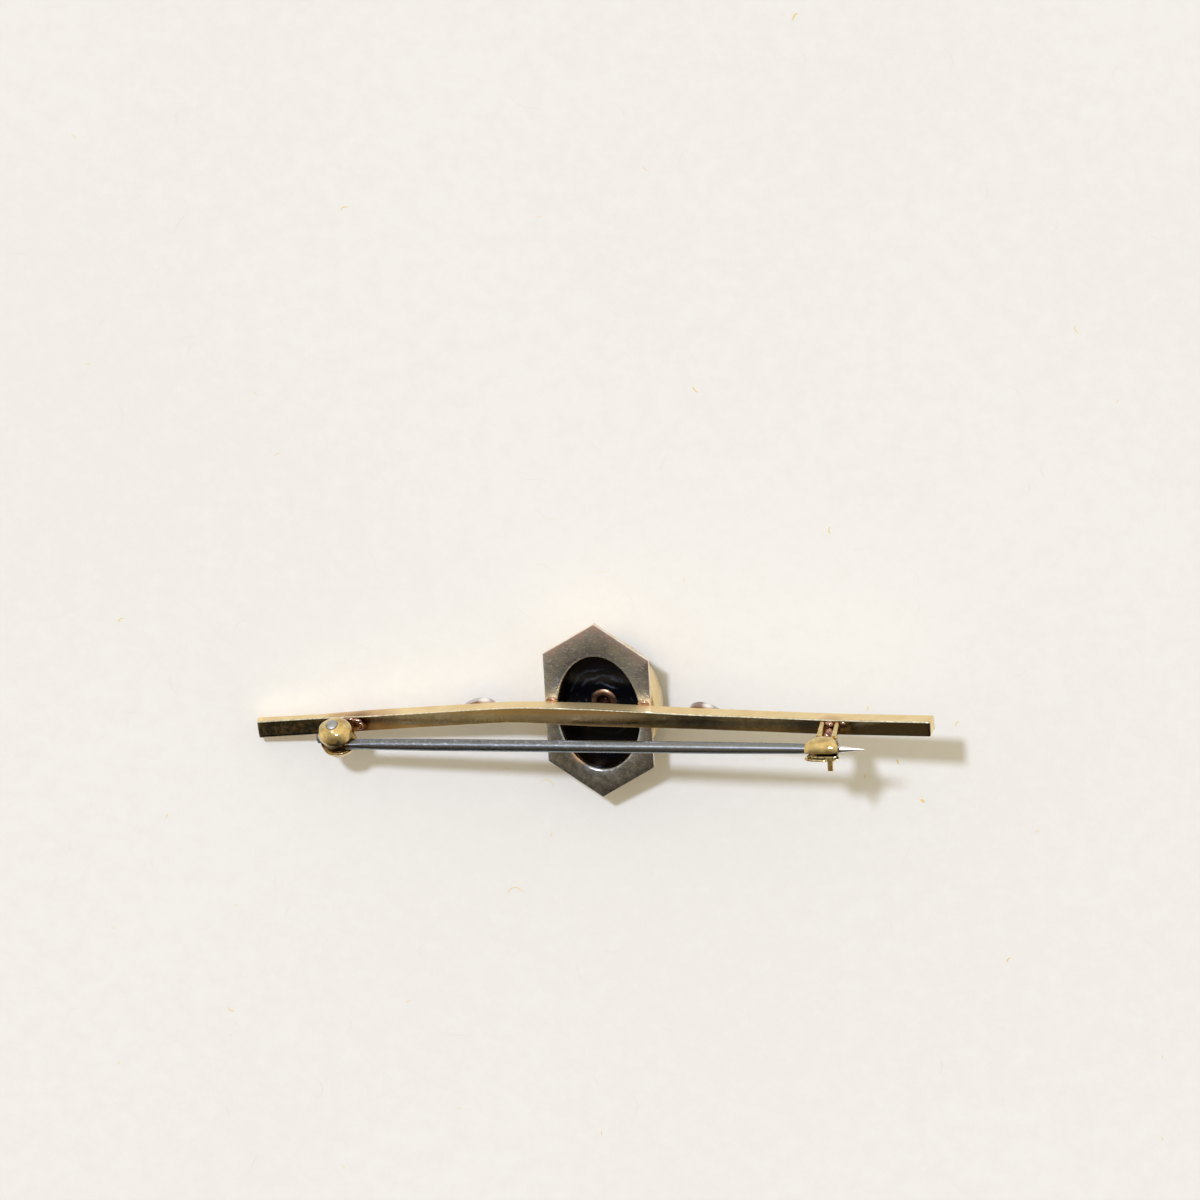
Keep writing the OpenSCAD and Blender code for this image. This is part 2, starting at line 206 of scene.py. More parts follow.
def loft(rings, closed=False):
    """Rings of equal length joined one to the next, with a cap at each end or, if closed, last to first."""
    n = len(rings[0])
    verts = [Vector(p) for ring in rings for p in ring]
    count = len(rings)
    faces = [
        (i * n + j, i * n + (j + 1) % n, (i + 1) % count * n + (j + 1) % n, (i + 1) % count * n + j)
        for i in range(count if closed else count - 1)
        for j in range(n)
    ]
    if not closed:
        faces.append(tuple(reversed(range(n))))
        faces.append(tuple((count - 1) * n + j for j in range(n)))
    return verts, faces


def shell(columns, present):
    """A curved wall: columns[i][j] is an outer and an inner point, present(i, j) if a cell is there."""
    ni, nj = len(columns), len(columns[0])
    verts = [Vector(p) for column in columns for pair in column for p in pair]

    def at(i, j, side):
        return (i * nj + j) * 2 + side

    cells = {(i, j) for i in range(ni - 1) for j in range(nj - 1) if present(i, j)}
    faces = []
    for i, j in sorted(cells):
        corners = [(i, j), (i + 1, j), (i + 1, j + 1), (i, j + 1)]
        faces.append(tuple(at(*c, 0) for c in corners))
        faces.append(tuple(at(*c, 1) for c in reversed(corners)))
        for k, (di, dj) in enumerate(((0, -1), (1, 0), (0, 1), (-1, 0))):
            if (i + di, j + dj) not in cells:
                a, b = corners[k], corners[(k + 1) % 4]
                faces.append((at(*b, 0), at(*a, 0), at(*a, 1), at(*b, 1)))
    return verts, faces


def join(*parts):
    """Several (verts, faces) as one."""
    verts, faces = [], []
    for v, f in parts:
        start = len(verts)
        verts += v
        faces += [tuple(i + start for i in face) for face in f]
    return verts, faces


def moved(part, matrix):
    return [matrix @ v for v in part[0]], part[1]


def circle(r, z, n):
    return [(r * math.cos(2 * math.pi * k / n), r * math.sin(2 * math.pi * k / n), z) for k in range(n)]


def turned(profile, segments=64, closed=True):
    """A profile of (radius, height) turned round Z. A closed profile makes a ring."""
    return loft([circle(r, z, segments) for r, z in profile], closed=closed)


def oval_ring(w, h, z, drop=OVAL_DROP, n=96):
    return [
        (w / 2 * math.cos(2 * math.pi * k / n), h / 2 * math.sin(2 * math.pi * k / n) - drop, z)
        for k in range(n)
    ]


def rounded_box(sx, sy, sz, r, steps=3):
    """A box with rounded upright corners, lofted with soft top and bottom edges."""

    def ring(inset, z):
        points = []
        for cx, cy, start in ((1, 1, 0), (-1, 1, 90), (-1, -1, 180), (1, -1, 270)):
            for k in range(steps + 1):
                a = math.radians(start + 90 * k / steps)
                points.append(
                    (
                        cx * (sx / 2 - r) + (r - inset) * math.cos(a),
                        cy * (sy / 2 - r) + (r - inset) * math.sin(a),
                        z,
                    )
                )
        return points

    e = r * 0.6
    return loft([ring(e, -sz / 2), ring(0, -sz / 2 + e), ring(0, sz / 2 - e), ring(e, sz / 2)])


def lump(centre, radii, seed, rough=0.12, steps=20):
    """A blob of run metal: an uneven ball."""
    rings = []
    for i in range(1, steps):
        lat = math.pi * i / steps
        ring = []
        for j in range(2 * steps):
            lon = math.pi * j / steps
            d = Vector((math.sin(lat) * math.cos(lon), math.sin(lat) * math.sin(lon), math.cos(lat)))
            swell = 1 + rough * noise.noise(d * 1.7 + Vector((seed, seed * 0.7, 0)))
            ring.append(Vector((d.x * radii[0], d.y * radii[1], d.z * radii[2])) * swell + Vector(centre))
        rings.append(ring)
    return loft(rings)


# Edges sharper than these angles are shaded sharp, or bevelled where a piece has a bevel
SHARP_FROM = math.radians(38)
BEVEL_FROM = math.radians(30)


def make(name, part, place, body, material, replaces, bevel=0, others=(), pick=None):
    """Builds one piece from (verts, faces) in millimetres, parents it to the body that it rides on and
    hides the parts that it stands for. Where it has other materials, pick(point) gives a face its number: 0
    is the first, and 1 on are the others."""
    bm = bmesh.new()
    verts = [bm.verts.new(v) for v in part[0]]
    for face in part[1]:
        bm.faces.new([verts[i] for i in face])
    bmesh.ops.remove_doubles(bm, verts=bm.verts, dist=1e-5)
    loose = [v for v in bm.verts if not v.link_faces]
    bmesh.ops.delete(bm, geom=loose, context="VERTS")
    bmesh.ops.recalc_face_normals(bm, faces=bm.faces)
    if bevel:
        edges = [e for e in bm.edges if e.is_manifold and e.calc_face_angle(0) > BEVEL_FROM]
        bmesh.ops.bevel(
            bm, geom=edges, offset=bevel, segments=2, profile=0.5, affect="EDGES", clamp_overlap=True
        )
    for face in bm.faces:
        face.smooth = True
        if pick:
            face.material_index = int(pick(face.calc_center_median()))
    for edge in bm.edges:
        edge.smooth = not (edge.is_manifold and edge.calc_face_angle(0) > SHARP_FROM)
    bm.transform(place)
    mesh = bpy.data.meshes.new(name)
    bm.to_mesh(mesh)
    bm.free()
    for each in (material, *others):
        mesh.materials.append(each)
    piece = bpy.data.objects.new(name, mesh)
    bpy.context.scene.collection.objects.link(piece)
    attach(piece, body)
    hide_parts(*replaces)


# Materials


class Nodes:
    """A material's node tree, written as short calls."""

    def __init__(self, name, tree=None):
        if tree is None:
            self.material = bpy.data.materials.new(name)
            self.material.use_nodes = True
            tree = self.material.node_tree
        self.tree = tree
        self.tree.nodes.clear()

    def add(self, kind, inputs=(), **settings):
        node = self.tree.nodes.new(kind)
        for key, value in settings.items():
            setattr(node, key, value)
        for key, value in dict(inputs).items():
            if isinstance(value, bpy.types.NodeSocket):
                self.tree.links.new(value, node.inputs[key])
            else:
                node.inputs[key].default_value = value
        return node

    def place(self, stretch=(1, 1, 1)):
        """The piece's own coordinates in millimetres, stretched."""
        coords = self.add("ShaderNodeTexCoord")
        scale = tuple(s / MM for s in stretch)
        mapping = self.add("ShaderNodeMapping", {"Vector": coords.outputs["Object"], "Scale": scale})
        return mapping.outputs[0]

    def noise(self, scale, detail=3, stretch=(1, 1, 1), roughness=0.55):
        return self.add(
            "ShaderNodeTexNoise",
            {"Vector": self.place(stretch), "Scale": scale, "Detail": detail, "Roughness": roughness},
        ).outputs[0]

    def ramp(self, value, low, high, to_low=0.0, to_high=1.0):
        return self.add(
            "ShaderNodeMapRange",
            {"Value": value, "From Min": low, "From Max": high, "To Min": to_low, "To Max": to_high},
        ).outputs[0]

    def math(self, operation, a, b):
        return self.add("ShaderNodeMath", {0: a, 1: b}, operation=operation).outputs[0]

    def vector(self, operation, a, b):
        return self.add("ShaderNodeVectorMath", {0: a, 1: b}, operation=operation)

    def mix(self, factor, a, b):
        node = self.add("ShaderNodeMix", data_type="RGBA")
        for key, value in ((0, factor), (6, a), (7, b)):
            if isinstance(value, bpy.types.NodeSocket):
                self.tree.links.new(value, node.inputs[key])
            else:
                node.inputs[key].default_value = value if key == 0 else (*value, 1)
        return node.outputs[2]

    def plus(self, colour, share, extra):
        """A colour with a share of another added."""
        lit = self.mix(share, (0.0, 0.0, 0.0), extra)
        node = self.add("ShaderNodeMix", {0: 1.0}, data_type="RGBA", blend_type="ADD")
        self.tree.links.new(colour, node.inputs[6])
        self.tree.links.new(lit, node.inputs[7])
        return node.outputs[2]

    def away(self, centre):
        """How far the surface is, in metres, from a point of the brooch in its own millimetres."""
        coords = self.add("ShaderNodeTexCoord")
        return self.vector("DISTANCE", coords.outputs["Object"], REST @ Vector(centre)).outputs["Value"]

    def near(self, centre, radius):
        """One at a point of the brooch, in its own millimetres, falling to nought at the radius."""
        return self.ramp(self.away(centre), 0.35 * radius * MM, radius * MM, 1, 0)

    def beyond(self, direction, offset, width):
        """One past a plane of the brooch, at an offset along a direction, nought one width before it."""
        coords = self.add("ShaderNodeTexCoord")
        origin = REST @ Vector((0, 0, 0))
        way = (REST.to_3x3() @ Vector(direction)).normalized()
        from_origin = self.vector("SUBTRACT", coords.outputs["Object"], origin).outputs[0]
        along = self.vector("DOT_PRODUCT", from_origin, way).outputs["Value"]
        return self.ramp(along, (offset - width) * MM, offset * MM)

    def bump(self, height, strength, distance, after=None):
        inputs = {"Height": height, "Strength": strength, "Distance": distance * MM}
        if after is not None:
            inputs["Normal"] = after
        return self.add("ShaderNodeBump", inputs).outputs[0]

    def shader(self, **inputs):
        sockets = {key.replace("_", " "): value for key, value in inputs.items()}
        node = self.add("ShaderNodeBsdfPrincipled", sockets)
        out = self.add("ShaderNodeOutputMaterial")
        self.tree.links.new(node.outputs[0], out.inputs[0])
        return self.material


# How much brighter than the metal its rubbed flecks are
FLECK_GAIN = 3.0


def worn_metal_with_painted_light(
    name, bright, dull, blur, grain, scratch, tints=(), zones=(), flecks=0.0, dents=0.0, torn=0.7
):
    """Metal with cloudy wear between two colours and blur's two roughnesses, and fine scratches along X.
    Its tints are (centre, radius, colour, amount), and its zones (planes, colour, amount), each plane as
    (direction, offset, width); some of them are real stains, and some are painted light and shade. It may
    have rubbed flecks and dents. torn is the least share of a zone's colour that is left in it."""
    n = Nodes(name)
    cloud = n.noise(grain, 4)
    colour = n.mix(n.ramp(cloud, 0.38, 0.68), bright, dull)
    if flecks:
        rubbed = n.ramp(n.noise(5.0, 4, (0.6, 1.5, 1), 0.75), 0.555, 0.61)
        pale = tuple(min(1, c * FLECK_GAIN) for c in bright)
        colour = n.mix(n.math("MULTIPLY", rubbed, flecks), colour, pale)
    ragged = n.ramp(n.noise(1.8, 6, roughness=0.8), 0.38, 0.58, torn, 1)
    for planes, tint, amount in zones:
        share = n.math("MULTIPLY", ragged, amount)
        for normal, offset, width in planes:
            share = n.math("MULTIPLY", share, n.beyond(normal, offset, width))
        colour = n.mix(share, colour, tint)
    for centre, radius, tint, amount in tints:
        colour = n.mix(n.math("MULTIPLY", n.near(centre, radius), amount), colour, tint)
    fine = n.noise(2.5, 4, (0.12, 2.4, 2.4), 0.6)
    pits = n.noise(7, 2)
    roughness = n.ramp(n.math("ADD", cloud, n.math("MULTIPLY", fine, 0.5)), 0.55, 1.0, *blur)
    normal = n.bump(fine, scratch, 0.02)
    normal = n.bump(pits, scratch * 0.5, 0.01, normal)
    if dents:
        normal = n.bump(n.noise(0.8, 2), dents, 0.16, normal)
    return n.shader(Base_Color=colour, Metallic=1.0, Roughness=roughness, Normal=normal)


def right_of(x, width):
    """The plane of a zone that is whole to the right of x, and starts one width before it."""
    return (1, 0, 0), x, width


def left_of(x, width):
    """The plane of a zone that is whole to the left of x, and starts one width before it."""
    return (-1, 0, 0), -x, width


COPPER_TINT = (0.42, 0.19, 0.09)
BROWN_TINT = (0.16, 0.07, 0.04)
EDGE_TINT = (0.88, 0.56, 0.47)
JOINT_POINT = (-JOINT_X, bar_y(-JOINT_X), BAR_D)
LEGS_X = CATCH_X - LEG_BACK
CATCH_POINT = (LEGS_X, bar_y(LEGS_X), BAR_D)

# The direction out of the plaque's upper right-hand edge, and how far off that edge is
PLAQUE_SLOPE = math.hypot(PLAQUE_W / 2, (PLAQUE_H - PLAQUE_SIDE) / 2)
EDGE_NORMAL = ((PLAQUE_H - PLAQUE_SIDE) / 2 / PLAQUE_SLOPE, PLAQUE_W / 2 / PLAQUE_SLOPE)
EDGE_OFFSET = EDGE_NORMAL[1] * PLAQUE_H / 2

# The plane that keeps a zone on the bar's back. The zones there are painted shade: they darken the back's
# reflection in steps towards its right end, and at its left end.
ON_BACK = ((0, 0, 1), BAR_D - 0.09, 0.07)
PAINTED_SHADE_LEFT = (0.066, 0.066, 0.056)
PAINTED_SHADE_RIGHT = (0.15, 0.12, 0.075)
JOINT_TINTS = (
    ((JOINT_POINT[0] + 1.5, JOINT_POINT[1] + 0.3, BAR_D), 1.6, BROWN_TINT, 0.85),
    ((JOINT_POINT[0] + 3.0, JOINT_POINT[1] + 0.2, BAR_D), 2.6, COPPER_TINT, 0.5),
    ((JOINT_POINT[0], JOINT_POINT[1] + 0.6, BAR_D), 1.8, COPPER_TINT, 0.5),
    (CATCH_POINT, 1.4, COPPER_TINT, 0.6),
)
bar_gold = worn_metal_with_painted_light(
    "bar_gold",
    (1.0, 0.76, 0.39),
    (0.86, 0.62, 0.28),
    blur=(0.1, 0.22),
    grain=0.5,
    scratch=0.08,
    tints=JOINT_TINTS,
    # Painted shade on the bar's back, darker in steps to the right and at the left end
    zones=(
        ((ON_BACK, right_of(-4, 4)), (0.76, 0.56, 0.30), 1.0),
        ((ON_BACK, right_of(5, 3)), (0.33, 0.25, 0.12), 1.0),
        ((ON_BACK, left_of(-23.5, 3.5)), PAINTED_SHADE_LEFT, 1.1),
        ((ON_BACK, right_of(8, 2.6), left_of(10, 3)), PAINTED_SHADE_RIGHT, 1.0),
        ((ON_BACK, right_of(19, 3)), PAINTED_SHADE_RIGHT, 1.2),
    ),
)
bar_side_gold = worn_metal_with_painted_light(
    "bar_side_gold",
    (0.84, 0.70, 0.43),
    (0.76, 0.61, 0.35),
    blur=(0.6, 0.68),
    grain=0.5,
    scratch=0.08,
    tints=JOINT_TINTS,
)
# The rubbed upper back edge: real polish, with a painted highlight in its near-white, sparkling colour
rubbed_edge_highlight_gold = worn_metal_with_painted_light(
    "rubbed_edge_highlight_gold", (1.0, 1.0, 0.90), (0.50, 0.46, 0.30), blur=(0.03, 0.28), grain=3.6, scratch=0.6
)
finding_gold = worn_metal_with_painted_light(
    "finding_gold", (0.76, 0.60, 0.31), (0.50, 0.36, 0.15),
    blur=(0.06, 0.16), grain=1.4, scratch=0.14, dents=0.55,
)
side_gold = worn_metal_with_painted_light(
    "side_gold", (0.88, 0.71, 0.41), (0.78, 0.59, 0.30), blur=(0.3, 0.4), grain=1.6, scratch=0.12
)
# Painted shade for the bezel's deep inner wall round the stone
recess_shade_gold = worn_metal_with_painted_light(
    "recess_shade_gold", (0.16, 0.09, 0.045), (0.05, 0.03, 0.02), blur=(0.3, 0.5), grain=1.2, scratch=0.2
)
# Painted shade on the catch's mouth lips: near-black speckle broken by gold
lip_speckled_shade_gold = worn_metal_with_painted_light(
    "lip_speckled_shade_gold", (0.74, 0.60, 0.32), (0.06, 0.04, 0.015), blur=(0.1, 0.25), grain=4.5, scratch=0.4
)
# Painted shade inside the catch's housing and sleeve, and on the ball joint's rims by the slot
crevice_shade_gold = worn_metal_with_painted_light(
    "crevice_shade_gold", (0.36, 0.24, 0.09), (0.12, 0.07, 0.03), blur=(0.12, 0.3), grain=1.4, scratch=0.25
)
white_gold = worn_metal_with_painted_light(
    "white_gold",
    (0.66, 0.69, 0.73),
    (0.40, 0.39, 0.41),
    blur=(0.22, 0.4),
    grain=1.1,
    scratch=0.5,
    zones=(
        ((((EDGE_NORMAL[0], EDGE_NORMAL[1], 0), EDGE_OFFSET - 0.1, 0.9),), EDGE_TINT, 0.75),
        ((((-EDGE_NORMAL[0], EDGE_NORMAL[1], 0), EDGE_OFFSET - 0.1, 0.8),), EDGE_TINT, 0.75),
        ((right_of(PLAQUE_W / 2 - 0.05, 0.5),), EDGE_TINT, 0.5),
        # Painted shade: the plaque's back grows darker towards its bottom
        ((((0, -1, 0), 6, 7),), (0.25, 0.25, 0.26), 1.1),
    ),
    # A painted orange glint on the lower left rim of the plaque's opening
    tints=(((-1.7, -4.2, -0.3), 1.15, (1.0, 0.62, 0.36), 1.0),),
    flecks=0.9,
    torn=0.25,
)
# The plaque's outer wall: the same white gold, painted brighter and whiter as a highlight
highlit_white_side = worn_metal_with_painted_light(
    "highlit_white_side", (0.97, 0.94, 0.88), (0.66, 0.58, 0.48), blur=(0.12, 0.3), grain=1.2, scratch=0.15
)
# Spots on the leaf settings: the white ones are painted highlights, the dark one on the right leaf's left
# part is painted shade, and the copper ones tint their right ends
LEAF_TINTS_SHADE_AND_GLINTS = tuple(
    ((x + dx, bar_y(x) + 0.8, -0.5), radius, colour, amount)
    for x, dx, radius, colour, amount in (
        (LEFT_LEAF_X, 1.3, 0.6, (0.50, 0.22, 0.10), 0.9),
        (LEFT_LEAF_X, 0.45, 0.65, (1.0, 1.0, 0.98), 1.0),
        (RIGHT_LEAF_X, -0.5, 1.0, (0.26, 0.17, 0.14), 0.9),
        (RIGHT_LEAF_X, 1.2, 0.7, (0.55, 0.30, 0.15), 0.8),
        (RIGHT_LEAF_X, 0.35, 0.62, (1.0, 1.0, 0.98), 1.0),
    )
)
leaf_silver = worn_metal_with_painted_light(
    "leaf_silver",
    (0.56, 0.56, 0.60),
    (0.36, 0.30, 0.28),
    blur=(0.05, 0.16),
    grain=1.1,
    scratch=0.2,
    tints=LEAF_TINTS_SHADE_AND_GLINTS,
    # Painted shade: browner where the leaves meet the bar
    zones=(((((0, 0, 1), -0.16, 0.2),), (0.30, 0.13, 0.06), 0.95),),
    dents=0.3,
)
copper_solder = worn_metal_with_painted_light(
    "copper_solder", (0.62, 0.38, 0.27), (0.20, 0.10, 0.07), blur=(0.1, 0.35), grain=2.4, scratch=0.4
)
dark_solder = worn_metal_with_painted_light(
    "dark_solder", (0.62, 0.38, 0.30), (0.12, 0.06, 0.05), blur=(0.06, 0.2), grain=2.4, scratch=0.4
)
tube_copper = worn_metal_with_painted_light(
    "tube_copper", (0.42, 0.26, 0.16), (0.15, 0.08, 0.055), blur=(0.25, 0.5), grain=2.4, scratch=0.4
)
# Painted shade down the centre tube's bore
bore_shade_brown = worn_metal_with_painted_light(
    "bore_shade_brown", (0.10, 0.04, 0.03), (0.03, 0.015, 0.012), blur=(0.3, 0.5), grain=2.4, scratch=0.3
)
drawn_steel = worn_metal_with_painted_light(
    "drawn_steel",
    (0.215, 0.23, 0.26),
    (0.15, 0.16, 0.175),
    blur=(0.24, 0.34),
    grain=1.2,
    scratch=0.12,
    # Painted light: the stem is lighter past x 8, and its point is painted pale as a highlight
    zones=(
        ((right_of(8, 10),), (0.245, 0.255, 0.27), 0.9),
        ((right_of(22.9, 0.6),), (0.85, 0.83, 0.80), 1.3),
    ),
    flecks=0.35,
)
# Painted shade on the pin's eye, down in the ball joint's slot
eye_slot_shade_steel = worn_metal_with_painted_light(
    "eye_slot_shade_steel", (0.17, 0.12, 0.07), (0.07, 0.045, 0.03), blur=(0.2, 0.4), grain=1.5, scratch=0.2
)
rivet_steel = worn_metal_with_painted_light(
    "rivet_steel", (0.44, 0.45, 0.46), (0.28, 0.28, 0.28), blur=(0.35, 0.55), grain=2.5, scratch=0.5
)


def onyx_material():
    """Black stone with the faint rings that its polishing left round its middle: the rings are bumped, and
    their bluish sheen is painted into its colour.
    """
    n = Nodes("black_onyx")
    away = n.away((0, 0, -ONYX_BACK))
    wobble = n.math("MULTIPLY", n.noise(0.7, 3), 1.2)
    rings = n.math("ADD", n.math("MULTIPLY", away, 1 / MM), wobble)
    wave = n.math("SINE", n.math("MULTIPLY", rings, 9.0), 0.0)
    patch = n.ramp(n.noise(0.6, 2), 0.45, 0.62)
    close = n.ramp(away, 1.4 * MM, 3.4 * MM, 0.8, 0)
    arcs = n.math("MULTIPLY", n.math("MULTIPLY", n.ramp(wave, 0.2, 1), patch), close)
    colour = n.mix(arcs, (0.0025, 0.0025, 0.004), (0.10, 0.125, 0.18))
    blur = n.ramp(arcs, 0, 1, 0.2, 0.3)
    normal = n.bump(wave, 0.03, 0.01)
    return n.shader(Base_Color=colour, Roughness=blur, Normal=normal, IOR=1.54, Specular_IOR_Level=0.12)


def clear_material():
    n = Nodes("clear_stone")
    tone = n.mix(n.noise(1.5, 2), (0.93, 0.96, 1.0), (1.0, 0.99, 0.96))
    return n.shader(Base_Color=tone, Roughness=0.01, IOR=1.8, Transmission_Weight=0.92)


onyx_black = onyx_material()
clear_stone = clear_material()


# The bar


# How the bar is twisted along its length, as (x, degrees towards +Y): it was bent and filed by hand
TWIST = ((-30, 0.4), (-15, 0.6), (-4, 0.8), (4, 0), (8, -1), (14, 0.3), (20, 0), (30, -1))
HAND_WAVE = 0.012
SECTIONS = 180

# Its left end is beaten thinner, and wider on its lower and upper side, with a rounder lower back edge
BEATEN_FROM = -19.2
BEATEN_TO = -25.2
BEATEN_THIN = 0.515
BEATEN_LOW = 0.2
BEATEN_HIGH = 0.11
BEATEN_ROUND = 0.33

# Its left end face is set back, slants and bulges a little
END_FROM = -28
END_TO = -30
END_BACK = 0.2
END_STEP = 0.1
END_SLANT = 0.2
END_BULGE = 0.03

# The rounding of its edges: upper back, lower back, both in front, and round its ends
HIGH_ROUND = 0.08
LOW_ROUND = 0.07
FRONT_ROUND = 0.12
END_ROUND = 0.12

# The rubbed line on its upper back edge, whose near-white colour is a painted highlight, and how far down
# its sides the polish of its back goes
RUBBED_HIGHLIGHT_W = 0.09
RUBBED_HIGHLIGHT_D = 0.1
POLISH_D = 0.14
END_FACE_X = 29.9


def twist(x):
    for (x0, t0), (x1, t1) in zip(TWIST, TWIST[1:]):
        if x <= x1:
            return math.radians(t0 + (t1 - t0) * smoothstep(x0, x1, x))
    return math.radians(TWIST[-1][1])


def beaten(x):
    """How far the bar is beaten wider and thinner, from nought to one at its left end."""
    return smoothstep(BEATEN_FROM, BEATEN_TO, x)


def corner_ring(x, inset=0.0):
    """The bar's section at x: a rectangle with worn corners, turned by the bar's twist."""
    half = bar_half(x) - inset
    wave = HAND_WAVE * noise.noise(Vector((x * 0.35, 2.0, 0)))
    end = beaten(x)
    front = BEATEN_THIN * end
    low_round = LOW_ROUND + BEATEN_ROUND * end
    last = smoothstep(END_FROM, END_TO, x)
    turn = twist(x)
    arcs = []
    for side, back, start, r in (
        (1, True, 0, HIGH_ROUND),
        (-1, True, 90, low_round),
        (-1, False, 180, FRONT_ROUND),
        (1, False, 270, FRONT_ROUND),
    ):
        reach = half + end * (BEATEN_LOW if side < 0 else BEATEN_HIGH)
        arcs.append(
            [
                (
                    side * (reach - r) + r * math.cos(a) + wave * side,
                    (BAR_D - inset - r if back else front + inset + r) + r * math.sin(a),
                )
                for a in (math.radians(start + 90 * k / 6) for k in range(7))
            ]
        )
    points = []
    for arc, following in zip(arcs, arcs[1:] + arcs[:1]):
        (y0, z0), (y1, z1) = arc[-1], following[0]
        arc += [(y0 + (y1 - y0) * t, z0 + (z1 - z0) * t) for t in (0.04, 0.5, 0.96)]
        for y, z in arc:
            u, v = (y / half + 1) / 2, (z - front) / (BAR_D - front)
            longer = last * (END_STEP * u + END_SLANT * (1 - v) + END_BULGE * (1 - (2 * v - 1) ** 2))
            lift = z - BAR_D / 2
            points.append(
                (
                    x - longer,
                    bar_y(x) + y * math.cos(turn) + lift * math.sin(turn),
                    BAR_D / 2 + lift * math.cos(turn) - y * math.sin(turn),
                )
            )
    return points


bar_left = -BAR_STEP - BAR_LEN / 2 + END_BACK
bar_right = -BAR_STEP + BAR_LEN / 2
bar_run = bar_right - bar_left - 2 * END_ROUND
bar_rings = [corner_ring(bar_left, END_ROUND), corner_ring(bar_left + END_ROUND * 0.3, END_ROUND * 0.3)]
bar_rings += [corner_ring(bar_left + END_ROUND + bar_run * i / SECTIONS) for i in range(SECTIONS + 1)]
bar_rings += [corner_ring(bar_right - END_ROUND * 0.3, END_ROUND * 0.3), corner_ring(bar_right, END_ROUND)]


def bar_side(p):
    """0 on the bar's polished back and ends, 1 on its dull sides and front, 2 on its rubbed edge, whose
    near-white colour is a painted highlight.
    """
    upper_side = bar_half(p.x) + BEATEN_HIGH * beaten(p.x)
    if p.y - bar_y(p.x) > upper_side - RUBBED_HIGHLIGHT_W and p.z > BAR_D - RUBBED_HIGHLIGHT_D:
        return 2
    return int(p.z < BAR_D - POLISH_D and abs(p.x) < END_FACE_X)


make(
    "bar",
    loft(bar_rings),
    REST,
    "brooch",
    bar_gold,
    ["frame"],
    others=(bar_side_gold, rubbed_edge_highlight_gold),
    pick=bar_side,
)


# The plaque


# How far its wall tapers in towards the front, and how far down the gold of the front starts
WALL_TAPER = 0.3
GOLD_FROM = 0.22


def plaque_part():
    """A six-sided sheet with an oval opening: at each angle a point on the outline and one on the oval."""
    w, s, h = PLAQUE_W / 2, PLAQUE_SIDE / 2, PLAQUE_H / 2
    corners = [(w, s), (0, h), (-w, s), (-w, -s), (0, -h), (w, -s)]
    angles = sorted(
        {round(2 * math.pi * k / 120, 6) for k in range(120)}
        | {round(math.atan2(y, x) % (2 * math.pi), 6) for x, y in corners}
    )
    outer, inner = [], []
    for a in angles:
        d = Vector((math.cos(a), math.sin(a)))
        reach = 1e9
        for (x0, y0), (x1, y1) in zip(corners, corners[1:] + corners[:1]):
            edge = Vector((x1 - x0, y1 - y0))
            cross = d.x * edge.y - d.y * edge.x
            if abs(cross) > 1e-9:
                t = (x0 * edge.y - y0 * edge.x) / cross
                u = (x0 * d.y - y0 * d.x) / cross
                if t > 0 and -1e-6 <= u <= 1 + 1e-6:
                    reach = min(reach, t)
        outer.append(d * reach)
        a2 = (d.x / OPENING_W * 2) ** 2 + (d.y / OPENING_H * 2) ** 2
        a1 = d.y * OVAL_DROP / (OPENING_H / 2) ** 2
        a0 = (OVAL_DROP / (OPENING_H / 2)) ** 2 - 1
        inner.append(d * ((-a1 + math.sqrt(a1 * a1 - a2 * a0)) / a2))
    rings = []
    for points, grow, z in (
        (outer, -WALL_TAPER, -PLAQUE_T),
        (outer, 0, -0.32),
        (outer, 0, -GOLD_FROM),
        (outer, 0, -0.07),
        (outer, -0.02, -0.02),
        (outer, -0.07, 0),
        (inner, 0.19, 0),
        (inner, 0.13, -0.03),
        (inner, 0.04, -0.1),
        (inner, 0, -0.15),
        (inner, 0, -PLAQUE_T),
    ):
        rings.append([(p.x * (1 + grow / p.length), p.y * (1 + grow / p.length), z) for p in points])
    return loft(rings, closed=True)


def on_plaque_wall(p):
    """1 on the plaque's outer wall, 2 low down on it, where the gold front shows, and 0 elsewhere."""
    outside = math.hypot(p.x / OPENING_W * 2, p.y / OPENING_H * 2) > 1.15 and p.z < -0.01
    return outside + (outside and p.z < -GOLD_FROM)


make(
    "plaque",
    plaque_part(),
    REST,
    "brooch",
    white_gold,
    ["frame"],
    others=(highlit_white_side, side_gold),
    pick=on_plaque_wall,
)


# The bezel and the black stone

ledge = ONYX_BACK - SET_GAP
rim_round = 0.08
bezel_profile = (
    (OPENING_W, OPENING_H, -PLAQUE_T + 0.02),
    (BEZEL_W - 0.1, BEZEL_H - 0.1, -PLAQUE_T + 0.02),
    (BEZEL_W, BEZEL_H, -PLAQUE_T - 0.08),
    (BEZEL_W, BEZEL_H, -BEZEL_DEPTH + rim_round),
    (BEZEL_W - rim_round, BEZEL_H - rim_round, -BEZEL_DEPTH),
    (BEZEL_W - 2 * BEZEL_WALL + rim_round, BEZEL_H - 2 * BEZEL_WALL + rim_round, -BEZEL_DEPTH),
    (BEZEL_W - 2 * BEZEL_WALL, BEZEL_H - 2 * BEZEL_WALL, -BEZEL_DEPTH + rim_round),
    (BEZEL_W - 2 * BEZEL_WALL, BEZEL_H - 2 * BEZEL_WALL, -ledge),
    (OPENING_W, OPENING_H, -ledge),
)
bezel_part = loft([oval_ring(*row) for row in bezel_profile], closed=True)


